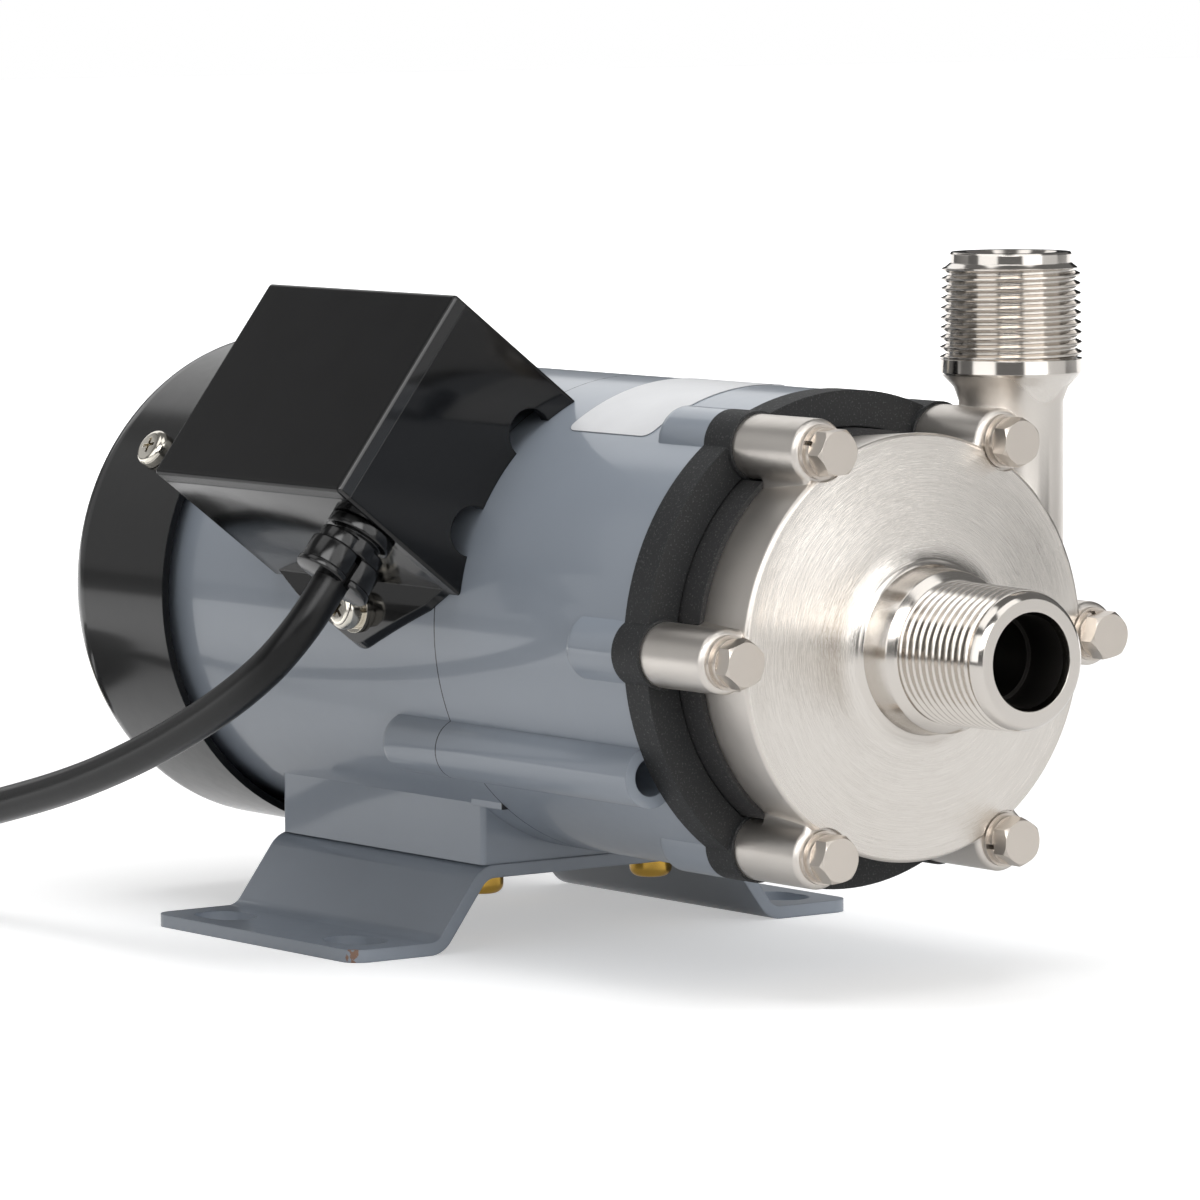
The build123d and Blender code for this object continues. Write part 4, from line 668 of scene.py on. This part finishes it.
def turn_nozzle(made, nozzle, foot, tip, profile):
    """Deletes the outer faces between two rings and turns a new outline between them."""
    pick(made, lambda face: all(
        foot[0] - 0.02 < spot[0] < tip[0] + 0.02 and tip[1] - 0.05 < spot[1] < foot[1] + 0.05
        for spot in (to_nozzle(made.data.vertices[k].co, nozzle) for k in face.vertices)))
    bpy.ops.mesh.delete(type="FACE")
    pick(made, on_rings(made, nozzle, foot), "EDGE")
    for height, reach in profile:
        bpy.ops.mesh.extrude_region_move()
        bpy.ops.object.mode_set(mode="OBJECT")
        move_ring(made, nozzle, height, reach)
        bpy.ops.object.mode_set(mode="EDIT")
    pick(made, on_rings(made, nozzle, profile[-1], tip), "EDGE")
    bpy.ops.mesh.bridge_edge_loops()
    bpy.ops.object.mode_set(mode="OBJECT")


# %% A copy of the head with turned nozzles
def cad_copy(node, name):
    """A loose copy of a CAD node, merged at its seams, ready to be reshaped."""
    made = cad[node].copy()
    made.data = cad[node].data.copy()
    made.name = name
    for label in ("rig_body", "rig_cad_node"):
        del made[label]
    made.parent = None
    bpy.context.scene.collection.objects.link(made)
    select_only(made)
    bpy.ops.mesh.customdata_custom_splitnormals_clear()
    edit_all()
    bpy.ops.mesh.remove_doubles(threshold=2e-6)
    bpy.ops.object.mode_set(mode="OBJECT")
    return made


head = cad_copy("pump_head", "pump_head_cast")
pick(head, lambda co: to_nozzle(co, "inlet")[0] > INLET_TIP[0] - INLET_TIP_SHIFT - 0.05, "VERT")
bpy.ops.transform.translate(value=(INLET_TIP_SHIFT * MM, 0, 0))
for nozzle, (height, reach), cad_r in (("inlet", INLET_TIP, INLET_TIP_CAD_R),
                                       ("outlet", OUTLET_TIP, OUTLET_TIP_CAD_R)):
    pick(head, on_rings(head, nozzle, (height, cad_r)), "EDGE")
    bpy.ops.object.mode_set(mode="OBJECT")
    move_ring(head, nozzle, height, reach)
turn_nozzle(head, "inlet", INLET_FOOT, INLET_TIP, INLET_PROFILE)
turn_nozzle(head, "outlet", OUTLET_FOOT, OUTLET_TIP, OUTLET_PROFILE)
print("head faces", len(head.data.polygons))

# %% Threads on the head
inlet_thread = threaded_length("inlet_thread", (INLET_THREAD[1] - INLET_THREAD[0]) * MM)
along_shaft = Matrix.Translation((INLET_THREAD[0] * MM, 0, SHAFT_Z)) @ Matrix.Rotation(math.pi / 2, 4, "Y")
inlet_thread.data.transform(along_shaft)
outlet_thread = threaded_length("outlet_thread", (OUTLET_THREAD[1] - OUTLET_THREAD[0]) * MM)
outlet_thread.data.transform(Matrix.Translation(Vector((*OUTLET_SPOT, OUTLET_THREAD[0])) * MM))
head = smooth(join([head, inlet_thread, outlet_thread], "pump_head_cast"), 30)
keep(head, "stainless", "pump_head")

# %% [markdown]
# ## Terminal box
# The two fixing tabs of the box run out to a small rounded tip just past their screws. A copy of the CAD box
# gets them by a cut with a block whose hollow side has that outline.

# %% Tabs of the terminal box
BOX_TILT = 37.5
BOX_OUT = Vector((0, -math.cos(math.radians(BOX_TILT)), math.sin(math.radians(BOX_TILT))))
BOX_ALONG = Vector((0, BOX_OUT.z, -BOX_OUT.y))
TAB_ROOT, TAB_ENDS, TAB_TIP, TAB_TIP_R = 22.45, (-12.4, 50.4), (18.6, 24.3), 8.0
ARC_START, ARC_SWEEP, ARC_STEPS = 107, 34, 6
CUTTER_ENDS, CUTTER_FAR, CUTTER_LOW, CUTTER_HEIGHT = (-16, 56), 46, 20, 45
box = cad_copy("terminal_box", "terminal_box_shaped")
for side in (-1, 1):
    arc = [math.radians(ARC_START - ARC_SWEEP * k / ARC_STEPS) for k in range(ARC_STEPS + 1)]
    outline = [(CUTTER_ENDS[0], TAB_ROOT), (TAB_ENDS[0], TAB_ROOT)]
    outline += [(TAB_TIP[0] + TAB_TIP_R * math.cos(a), TAB_TIP[1] + TAB_TIP_R * math.sin(a)) for a in arc]
    outline += [(TAB_ENDS[1], TAB_ROOT), (CUTTER_ENDS[1], TAB_ROOT)]
    outline += [(CUTTER_ENDS[1], CUTTER_FAR), (CUTTER_ENDS[0], CUTTER_FAR)]
    cutter = start_mesh("circle", "cutter", vertices=len(outline), radius=MM, fill_type="NGON")
    for vertex, (x, y) in zip(cutter.data.vertices, outline):
        across = BOX_ALONG * side * y * MM + BOX_OUT * CUTTER_LOW * MM
        vertex.co = Vector((x * MM, 0, SHAFT_Z)) + across
    edit_all()
    bpy.ops.mesh.extrude_region_move(TRANSFORM_OT_translate={"value": BOX_OUT * CUTTER_HEIGHT * MM})
    point_outwards()
    cut(box, cutter)
keep(smooth(box, 30), "box_black", "terminal_box")

# %% [markdown]
# ## Cross recessed screws
# The box, the fan cover and the foot are held by pan head screws. One screw is modelled: a short cylinder
# whose top edge is bevelled round, a cross cut by two tapered blocks, and a shank. The rest are copies.

# %% One pan head screw
RIM_ROUNDING = 0.52
CROSS_LENGTH, CROSS_WIDTH, CROSS_DEPTH, CROSS_TAPER = 1.24, 0.27, 1.5, 0.45


def pan_screw(name, head_r, head_height, shank_r, shank_length):
    """A screw whose head stands on the origin and whose shank goes down."""
    screw = start_mesh("cylinder", name, vertices=64, radius=head_r * MM, depth=head_height * MM,
                       location=(0, 0, head_height / 2 * MM))
    bpy.ops.object.transform_apply(location=True)
    pick(screw, lambda ends: all(co.z > (head_height - 0.01) * MM for co in ends), "EDGE")
    bpy.ops.mesh.bevel(offset=RIM_ROUNDING * head_height * MM, segments=8, profile=0.5, affect="EDGES")
    bpy.ops.object.mode_set(mode="OBJECT")
    arms = []
    for across in (0, math.pi / 2):
        arm = start_mesh("cube", "cross", size=1, location=(0, 0, head_height * MM))
        arm.scale = (CROSS_LENGTH * head_r * MM, CROSS_WIDTH * head_r * MM, CROSS_DEPTH * head_height * MM)
        arm.rotation_euler = (0, 0, across)
        bpy.ops.object.transform_apply(location=True, rotation=True, scale=True)
        pick(arm, lambda face: face.normal.z < -0.9)
        bpy.ops.transform.resize(value=(CROSS_TAPER, CROSS_TAPER, 1), center_override=(0, 0, 0))
        bpy.ops.object.mode_set(mode="OBJECT")
        arms.append(arm)
    for arm in arms:
        cut(screw, arm)
    shank = start_mesh("cylinder", "shank", vertices=32, radius=shank_r * MM, depth=(shank_length + 0.5) * MM,
                       location=(0, 0, (0.5 - shank_length) / 2 * MM))
    return join([screw, shank], name)


def around(angle, x, reach):
    """Where a radial direction meets a distance from the shaft: the direction and the spot."""
    out = (0, math.cos(math.radians(angle)), math.sin(math.radians(angle)))
    return out, (x, out[1] * reach, SHAFT_HEIGHT + out[2] * reach)


print("screw helpers ready")

# %% All cross recessed screws, each turned as it happened to stop
COVER_SCREW_ANGLES, COVER_SCREW_X, COVER_SCREW_R = (26, 146, 266), -60.5, 49.6
BOX_ANGLE = 180 - BOX_TILT
BOX_SCREW_ANGLES, BOX_SCREW_X, BOX_SCREW_R = (BOX_ANGLE - 34.9, BOX_ANGLE + 34.9), 19.0, 49.4
FOOT_SCREW_X, FOOT_SCREW_Y, FOOT_SCREW_Z = (-21.3, 21.3), (-20.4, 20.4), 12.6
MOST_TURN = 1.5
small_screw = pan_screw("small_screw", 3.9, 2.8, 2.0, 6.1)
cover_places = [facing(*around(angle, COVER_SCREW_X, COVER_SCREW_R), random.uniform(0, MOST_TURN))
                for angle in COVER_SCREW_ANGLES]
keep(copies(small_screw, cover_places, "cover_screws_cross"), "nickel", "fan_cover_screws")
box_places = [facing(*around(angle, BOX_SCREW_X, BOX_SCREW_R), random.uniform(0, MOST_TURN))
              for angle in BOX_SCREW_ANGLES]
keep(copies(small_screw, box_places, "box_screws_cross"), "nickel", "box_screws")
foot_screw = pan_screw("foot_screw", 4.2, 3.6, 2.5, 11.0)
foot_places = [facing((0, 0, -1), (x, y, FOOT_SCREW_Z), random.uniform(0, MOST_TURN))
               for x in FOOT_SCREW_X for y in FOOT_SCREW_Y]
keep(copies(foot_screw, foot_places, "foot_screws_cross"), "yellow_zinc", "foot_screws")
for model in (small_screw, foot_screw):
    bpy.data.objects.remove(model)

# %% [markdown]
# ## Strain relief
# The lead leaves the box through a split bushing: a round collar on the wall, a waist, and two jaws that
# close on the lead. Each jaw is a cylinder with its inner side sliced off by a bisect and its rims bevelled.

# %% Strain relief
RELIEF_OUT = Vector((0, -BOX_OUT.z, BOX_OUT.y))
RELIEF_REACH, RELIEF_SIDE = 61.5, 22.4
RELIEF_SPOT = Vector((CORD_START[0], 0, SHAFT_HEIGHT)) + BOX_OUT * RELIEF_REACH + RELIEF_OUT * RELIEF_SIDE
JAW_GAP = 0.6


def bushing_ring(name, low, high, radius, shift=0.0, edge=0.4, halved=False):
    """A length of the bushing from one height to another, with broken rims."""
    ring = start_mesh("cylinder", name, vertices=56, radius=radius * MM, depth=(high - low) * MM,
                      location=(shift * MM, 0, (low + high) / 2 * MM))
    bpy.ops.object.transform_apply(location=True)
    if halved:
        side = 1 if shift > 0 else -1
        edit_all()
        bpy.ops.mesh.bisect(plane_co=(side * JAW_GAP * MM, 0, 0), plane_no=(side, 0, 0), clear_inner=True,
                            use_fill=True)
        bpy.ops.object.mode_set(mode="OBJECT")
    pick(ring, lambda face: abs(face.normal.z) > 0.9)
    bpy.ops.mesh.region_to_loop()
    bpy.ops.mesh.bevel(offset=edge * MM, segments=3, affect="EDGES")
    bpy.ops.object.mode_set(mode="OBJECT")
    return ring


parts = [
    bushing_ring("collar", 0, 2.4, 6.6),
    bushing_ring("neck", -3.0, 1.0, 4.85, edge=0.2),
    bushing_ring("waist", 2.0, 6.0, 4.9, edge=0.3),
]
for side in (-1, 1):
    parts.append(bushing_ring("jaw_step", 3.4, 6.4, 4.4, side * 2.6, 0.3, True))
    parts.append(bushing_ring("jaw", 5.9, 11.2, 5.0, side * 2.8, 0.5, True))
    parts.append(bushing_ring("jaw_rim", 10.6, 12.0, 5.35, side * 2.8, 0.35, True))
relief = join(parts, "split_bushing")
upright = Matrix((BOX_OUT, RELIEF_OUT.cross(BOX_OUT), RELIEF_OUT)).transposed().to_4x4()
relief.data.transform(Matrix.Translation(RELIEF_SPOT * MM) @ upright)
keep(smooth(relief), "cord_black", "strain_relief")

# %% [markdown]
# ## Sticker
# A blank white label with rounded corners is stuck on top of the front housing. A flat sheet with bevelled
# corners is cut into strips and laid on the housing's round by moving each vertex to its place on the arc.

# %% Sticker
LABEL_X, LABEL_ANGLES, LABEL_R = (59.0, 84.5), (54.5, 98.0), 46.06
LABEL_CORNER, LABEL_STRIPS, PAPER = 2.2, 40, 0.12
arc = math.radians(LABEL_ANGLES[1] - LABEL_ANGLES[0]) * LABEL_R
label = start_mesh("plane", "label_blank", size=1)
label.scale = ((LABEL_X[1] - LABEL_X[0]) * MM, arc * MM, 1)
bpy.ops.object.transform_apply(scale=True)
pick(label, lambda co: True, "VERT")
bpy.ops.mesh.bevel(offset=LABEL_CORNER * MM, segments=6, affect="VERTICES")
for k in range(1, LABEL_STRIPS):
    bpy.ops.mesh.select_all(action="SELECT")
    bpy.ops.mesh.bisect(plane_co=(0, (k / LABEL_STRIPS - 0.5) * arc * MM, 0), plane_no=(0, 1, 0))
bpy.ops.object.mode_set(mode="OBJECT")
for vertex in label.data.vertices:
    angle = math.radians((LABEL_ANGLES[0] + LABEL_ANGLES[1]) / 2) + vertex.co.y / MM / LABEL_R
    x = vertex.co.x + (LABEL_X[0] + LABEL_X[1]) / 2 * MM
    vertex.co = (x, -LABEL_R * MM * math.cos(angle), SHAFT_Z + LABEL_R * MM * math.sin(angle))
modify(label, "SOLIDIFY", thickness=PAPER * MM, offset=1.0)
point_outwards()
keep(smooth(label), None)

# %% [markdown]
# ## Coil tie and plug
# The end of the lead is out of the photograph, so it is what such a pump has: a band that holds the coil, and
# a moulded plug with two blades and an earth pin. The plug's body is a block with rounded edges and a waist
# for the fingers, and its tail has the notches that let it bend.

# %% Coil tie
TIE_WIDTH, TIE_WALL, TIE_ROUNDING = 6.0, 0.9, 0.5
band_outline = [(23.4, 0.15), (49.6, 0.15), (50.4, 1.6), (49.9, 6.5), (47.2, 13.6), (45.6, 14.9),
                (30.6, 14.9), (29.2, 13.6), (22.9, 6.5), (22.4, 1.6)]
band = start_mesh("circle", "coil_tie", vertices=len(band_outline), radius=MM, fill_type="NGON")
for vertex, (reach, height) in zip(band.data.vertices, band_outline):
    vertex.co = (-TIE_WIDTH / 2 * MM, reach * MM, height * MM)
edit_all()
bpy.ops.mesh.extrude_region_move(TRANSFORM_OT_translate={"value": (TIE_WIDTH * MM, 0, 0)})
bpy.ops.object.mode_set(mode="OBJECT")
pick(band, lambda face: abs(face.normal.x) > 0.9)
bpy.ops.mesh.delete(type="FACE")
point_outwards()
modify(band, "SOLIDIFY", thickness=TIE_WALL * MM, offset=-1.0)
modify(band, "BEVEL", width=TIE_ROUNDING * MM, segments=3, limit_method="ANGLE")
band.data.transform(Matrix.Translation((COIL_CENTRE[0] * MM, COIL_CENTRE[1] * MM, 0)))
tie = keep(smooth(band, 40), "cord_black", "cord_tie")

# %% Plug
PLUG_SIZE, PLUG_SPOT, PLUG_ROUNDING = (25.0, 24.0, 19.6), Vector((-241.0, -17.0, 9.9)), 2.6
WAIST_Y, WAIST_NARROWS, TAIL_END_NARROWS = 7, (0.88, 1, 1), (0.72, 1, 0.74)
TAIL_RINGS, RING_RADII, RING_THINNER = 5, (6.6, 6.3), 0.4
RING_WIDTH, FIRST_RING_Y, RING_STEP = 1.5, -12.6, 2.0
CORE_RADII, CORE_LENGTH, CORE_Y = (5.4, 4.3), 11.0, -17.0
body = start_mesh("cube", "plug_body", size=1)
body.scale = tuple(side * MM for side in PLUG_SIZE)
bpy.ops.object.transform_apply(scale=True)
edit_all()
bpy.ops.mesh.subdivide(number_cuts=5)
bpy.ops.object.mode_set(mode="OBJECT")
pick(body, lambda co: abs(co.y) < WAIST_Y * MM and abs(co.x) > (PLUG_SIZE[0] / 2 - 0.5) * MM, "VERT")
bpy.ops.transform.resize(value=WAIST_NARROWS, center_override=(0, 0, 0))
pick(body, lambda face: face.normal.y < -0.9)
bpy.ops.transform.resize(value=TAIL_END_NARROWS, center_override=(0, 0, 0))
bpy.ops.object.mode_set(mode="OBJECT")
modify(body, "BEVEL", width=PLUG_ROUNDING * MM, segments=4, limit_method="ANGLE")
tail_parts = [body]
for k in range(TAIL_RINGS):
    wide, narrow = ((radius - RING_THINNER * k) * MM for radius in RING_RADII)
    tail_parts.append(start_mesh(
        "cone", "tail_ring", vertices=40, radius1=wide, radius2=narrow, depth=RING_WIDTH * MM,
        location=(0, (FIRST_RING_Y - RING_STEP * k) * MM, 0), rotation=(math.pi / 2, 0, 0)))
tail_parts.append(start_mesh(
    "cone", "tail_core", vertices=40, radius1=CORE_RADII[0] * MM, radius2=CORE_RADII[1] * MM,
    depth=CORE_LENGTH * MM, location=(0, CORE_Y * MM, 0), rotation=(math.pi / 2, 0, 0)))
plug = join(tail_parts, "mains_plug")
plug.data.transform(Matrix.Translation(PLUG_SPOT * MM))
keep(smooth(plug, 35), "cord_black", "plug")

# %% [markdown]
# ## Finishes
# Each finish is procedural and reads the object's own coordinates, so it stays in place when the parts turn.
# Most of the small parts are one of two kinds, a worked metal or a moulded plastic, and differ in colour, in
# sheen and in how coarse their grain is. Two functions make them all.

# %% Simple finishes by a recipe
def metal(name, colour, roughness, grain=900, depth=0.01, edge=0.15, **more):
    """A worked metal: a slightly uneven sheen, fine grain and broken edges."""
    made = Finish(name, Metallic=1.0, **more)
    point, _ = made.place()
    cloud = made.noise(point, 90, 4)
    fine = made.noise(point, grain, 2)
    dark = tuple(c * 0.90 for c in colour[:3]) + (1.0,)
    bump = made.bump(fine, depth, made.rounded(edge))
    return made.feed(Base_Color=made.blend(cloud, dark, colour),
                     Roughness=roughness * (0.75 + 0.5 * made.noise(point, 260, 3)), Normal=bump)


def moulded(name, colour, roughness, grain=1400, depth=0.012, edge=0.25, **more):
    """A moulded plastic or rubber: a faint cloud in its colour and a fine texture."""
    made = Finish(name, **more)
    point, _ = made.place()
    light = tuple(min(1.0, c * 1.25 + 0.002) for c in colour[:3]) + (1.0,)
    bump = made.bump(made.noise(point, grain, 3), depth, made.rounded(edge))
    return made.feed(Base_Color=made.blend(made.noise(point, 70, 4), colour, light),
                     Roughness=roughness * (0.8 + 0.4 * made.noise(point, 180, 3)), Normal=bump)


finishes = {
    "head_o_ring": moulded("seal_rubber", linear(28, 28, 28), 0.5),
    "ceramic": moulded("alumina", linear(238, 235, 226), 0.25, depth=0.002, Coat_Weight=0.3),
    "impeller": moulded("impeller_plastic", linear(44, 44, 44), 0.45),
    "magnet": metal("ferrite", linear(70, 70, 72), 0.6, depth=0.02),
    "carbon": moulded("carbon", linear(38, 38, 38), 0.35),
    "zinc": metal("bright_zinc", linear(205, 207, 212), 0.28, depth=0.004),
    "nickel": metal("nickel_plate", linear(226, 221, 210), 0.16, depth=0.003),
    "yellow_zinc": metal("yellow_zinc", linear(222, 178, 84), 0.24, depth=0.004),
    "core": metal("lamination_steel", linear(120, 120, 124), 0.5, depth=0.02),
    "copper": metal("enamelled_copper", linear(190, 110, 66), 0.35, depth=0.05, Coat_Weight=0.5),
    "shaft": metal("ground_shaft", linear(190, 190, 192), 0.25, depth=0.004),
    "bearing": metal("bearing_steel", linear(205, 205, 208), 0.15, depth=0.002),
    "aluminium": metal("cast_aluminium", linear(200, 200, 200), 0.45, grain=500, depth=0.05),
    "fan": moulded("fan_plastic", linear(52, 52, 54), 0.4),
    "block": moulded("terminal_plastic", linear(214, 211, 200), 0.45),
    "brass": metal("plated_brass", linear(206, 190, 140), 0.22, depth=0.003),
    "label": moulded("label_paper", linear(206, 207, 209), 0.35, grain=900, depth=0.002),
    "bolt": metal("stainless_bolt", linear(214, 206, 197), 0.36, grain=2500, depth=0.0015, edge=0.06),
    "relief": moulded("relief_plastic", linear(8, 8, 9), 0.16, grain=300, depth=0.004, edge=0.3),
}
print("simple finishes", len(finishes))

# %% [markdown]
# ## Black finishes
# Black comes in five ways: the bracket and the casing are rough filled plastic with a spark texture, the fan
# cover is gloss paint on a drawn cap, the box is polished plastic, its lid satin with a bright edge, and the
# lead is soft rubber. The shades are almost the same, so roughness and coat tell them apart.

# %% Black finishes
LID_EDGE_X = 50.0


def textured(name, colour, speck_colour, depth):
    """A filled plastic with a fine spark texture whose few grains are smoother and painted lighter, as
    painted glints.
    """
    made = Finish(name)
    point, _ = made.place()
    specks = made.step(made.noise(point, 2600, 1, 0.4), 0.58, 0.74)
    grain = made.noise(point, 1900, 2)
    return made.feed(Base_Color=made.blend(specks, colour, speck_colour), Roughness=0.66 - 0.10 * specks,
                     Normal=made.bump(grain, depth, made.rounded(0.35)))


finishes["bracket"] = textured("bracket_plastic", linear(30, 31, 32), linear(62, 62, 63), 0.045)
finishes["rear_casing"] = textured("casing_plastic", linear(38, 38, 39), linear(70, 69, 68), 0.035)

made = Finish("cover_paint", Coat_Weight=0.5, Coat_Roughness=0.10, Specular_IOR_Level=0.15)
point, _ = made.place()
peel = made.bump(made.noise(point, 160, 2), 0.010, made.rounded(0.5))
finishes["fan_cover"] = made.feed(
    Base_Color=made.blend(made.noise(point, 60), linear(7, 7, 8), linear(10, 10, 11)),
    Roughness=0.30 + 0.10 * made.noise(point, 300), Normal=peel)

made = Finish("box_plastic", Specular_IOR_Level=0.42)
point, _ = made.place()
finishes["terminal_box"] = made.feed(
    Base_Color=made.blend(made.noise(point, 50), linear(6, 6, 7), linear(9, 9, 10)),
    Roughness=0.07 + 0.05 * made.noise(point, 120, 4),
    Normal=made.bump(made.noise(point, 70, 2), 0.018, made.rounded(0.4)))

made = Finish("lid_plastic", Specular_IOR_Level=0.25, Coat_Roughness=0.06)
point, (x, y, z) = made.place()
finishes["terminal_box_lid"] = made.feed(
    Base_Color=made.blend(made.noise(point, 50), linear(10, 10, 11), linear(14, 14, 15)),
    Roughness=0.20 + 0.05 * made.noise(point, 120, 4), Coat_Weight=made.step(x, LID_EDGE_X, LID_EDGE_X + 0.2),
    Normal=made.bump(made.noise(point, 1300, 2), 0.004, made.rounded(0.35)))

finishes["cord"] = moulded("cord_rubber", linear(5, 5, 6), 0.30, grain=700, depth=0.012,
                           Specular_IOR_Level=0.30)
print("black finishes done")

# %% [markdown]
# ## Blue-grey paint
# The motor's castings and the foot are painted alike: a thick gloss coat that rounds the edges and keeps a
# faint orange peel. The joint between the two castings is a thin dark line across the paint, and the foot's
# near corner has lost a little of it down to the primer. Both are masks on the place along the pump.

# %% Blue-grey paint
CASTING_JOINT_X, CHIPPED_CORNER = 42.5, (33.4, -59.4)


def paint(name, wave_depth, edge, low, high):
    """Gloss blue-grey paint over a casting or a sheet, with a soft orange peel and edges it rounds."""
    made = Finish(name, Coat_Weight=0.6, Coat_Roughness=0.07)
    point, axes = made.place()
    cloud = made.noise(point, 40, 3)
    waves = made.bump(made.noise(point, 220, 2), wave_depth, made.rounded(edge))
    made.feed(Roughness=0.36 + 0.08 * made.noise(point, 300), Normal=waves)
    return made, point, axes, made.blend(cloud, low, high)


made, point, (x, y, z), colour = paint("housing_paint", 0.012, 0.3, linear(142, 150, 160),
                                       linear(148, 156, 167))
seam = abs(x - CASTING_JOINT_X) < 0.16
finishes["housing"] = made.feed(Base_Color=made.blend(seam, colour, linear(20, 21, 23)))
made, point, (x, y, z), colour = paint("plate_paint", 0.010, 0.6, linear(136, 143, 153),
                                       linear(142, 150, 160))
x, y = x - CHIPPED_CORNER[0], y - CHIPPED_CORNER[1]
near_corner = made.step(x * x + y * y, 0.5, 6.0, 1.0, 0.0)
chips = made.step(near_corner + made.noise(point, 800), 1.42, 1.48)
finishes["foot_plate"] = made.feed(Base_Color=made.blend(chips, colour, linear(134, 104, 86)),
                                   Coat_Weight=0.6 - 0.55 * chips)
print("paint done")

# %% [markdown]
# ## Stainless of the pump head
# One casting has four surfaces: the sides are bead blasted, the face is turned and shows its fine rings as a
# fan of light and dark, the neck and the threads are bright, and the bores are rough. The face's rings are
# also painted a little lighter, a painted sheen, and the bores are painted dark, a painted shade. Masks made
# of the place along the shaft and the distance from each nozzle's axis tell them apart, so no seam is drawn
# by hand.

# %% Stainless of the pump head
FACE_X, NECK_X, HUB_END_X, COLLAR_Z = 130.0, 133.55, 141.0, 111.9
INLET_BORE, OUTLET_BORE = (136, 162.1, 8.45), (104, 133.9, 8.3)  # from, to and radius


def in_bore(along_bore, off_axis, start, end, radius):
    """1 inside a bore and 0 outside it."""
    return (along_bore > start) * (along_bore < end) * (off_axis < radius)


made = Finish("head_steel", Metallic=1.0)
point, (x, y, z) = made.place()
from_shaft = from_axis(y, z - SHAFT_HEIGHT)
from_outlet = from_axis(x - OUTLET_SPOT[0], y - OUTLET_SPOT[1])
front = made.step(x, FACE_X, FACE_X + 0.5)
on_neck = made.step(x, NECK_X, NECK_X + 0.2)
nozzle_up = made.step(z, COLLAR_Z, COLLAR_Z + 0.5)
machined = on_neck + nozzle_up * (1 - on_neck)
turned_face = front * (1 - machined)
satin = 1 - turned_face - machined
# Inside both bores the colour is painted dark: a painted shade.
bore = in_bore(x, from_shaft, *INLET_BORE) + in_bore(z, from_outlet, *OUTLET_BORE)
around_shaft = made.node("Math", {"operation": "ARCTAN2"}, {0: y, 1: z - SHAFT_HEIGHT})
turning = made.node("CombineXYZ", {}, {0: from_shaft, 1: x, 2: around_shaft * 0.35})
coarse, fine = made.noise(turning, 2.0, 2, 0.6), made.noise(turning, 12.0, 2, 0.6)
on_hub = on_neck * (x < HUB_END_X)
rough = satin * (0.33 + 0.10 * made.noise(point, 330, 3)) + turned_face * 0.17
rough = rough + machined * 0.11 + on_hub * 0.07
blast = made.bump(made.noise(point, 1500, 2) * satin, 0.022, made.rounded(0.2))
streaks = made.bump(coarse * turned_face, 0.004, blast)
brushed = made.bump(fine * (turned_face + on_neck * 0.12), 0.038, streaks)
steel = made.blend(made.noise(point, 35, 3), linear(210, 204, 197), linear(222, 217, 211))
# Some rings of the turned face are painted lighter: a painted sheen on top of the bumped rings.
steel = made.blend(made.step(fine, 0.35, 0.65) * turned_face * 0.5, steel, linear(236, 232, 226))
finishes["pump_head"] = made.feed(Base_Color=made.blend(bore, steel, linear(58, 56, 54)),
                                  Roughness=rough * (1 - bore) + bore * 0.5, Normal=brushed)
print("finishes", len(finishes))

# %% [markdown]
# ## Putting the finishes on
# Every CAD node takes one finish, also those inside, which are seen when a housing is hidden. The pieces that
# were modelled again take the finish of the part they stand for.

# %% Which pieces take which finish
PIECES_OF = {
    "pump_head": "pump_head pump_head_cast",
    "head_o_ring": "head_o_ring",
    "bolt": "head_bolts head_flat_washers head_spring_washers",
    "rear_casing": "rear_casing",
    "ceramic": "spindle thrust_rings",
    "impeller": "impeller",
    "magnet": "driven_magnet drive_magnets",
    "carbon": "impeller_bush",
    "bracket": "bracket",
    "housing": "front_housing rear_housing",
    "zinc": "tie_bolts hub_set_screw wave_washer fan_clip",
    "core": "stator_core rotor_core",
    "copper": "stator_windings",
    "shaft": "motor_shaft drive_magnet_hub",
    "aluminium": "rotor_end_rings",
    "bearing": "bearing_outer_rings bearing_inner_rings bearing_balls",
    "fan": "cooling_fan",
    "fan_cover": "fan_cover",
    "nickel": "fan_cover_screws cover_screws_cross box_screws box_screws_cross box_flat_washers "
              "box_spring_washers",
    "terminal_box": "terminal_box terminal_box_shaped",
    "terminal_box_lid": "terminal_box_lid",
    "relief": "strain_relief split_bushing",
    "block": "terminal_block run_capacitor",
    "foot_plate": "foot_plate",
    "yellow_zinc": "foot_screws foot_screws_cross foot_spring_washers",
    "cord": "power_cord power_cord_coil mains_cord cord_tie coil_tie plug mains_plug",
    "brass": "plug_pins",
    "label": "label_blank",
}
dressed = 0
for finish_name, pieces in PIECES_OF.items():
    for name in pieces.split():
        data = (cad.get(name) or bpy.data.objects[name]).data
        data.materials.clear()
        data.materials.append(finishes[finish_name])
        dressed += 1
print("pieces dressed", dressed)

# %% Colour view
bpy.context.scene.view_settings.view_transform = "Standard"
bpy.context.view_layer.update()
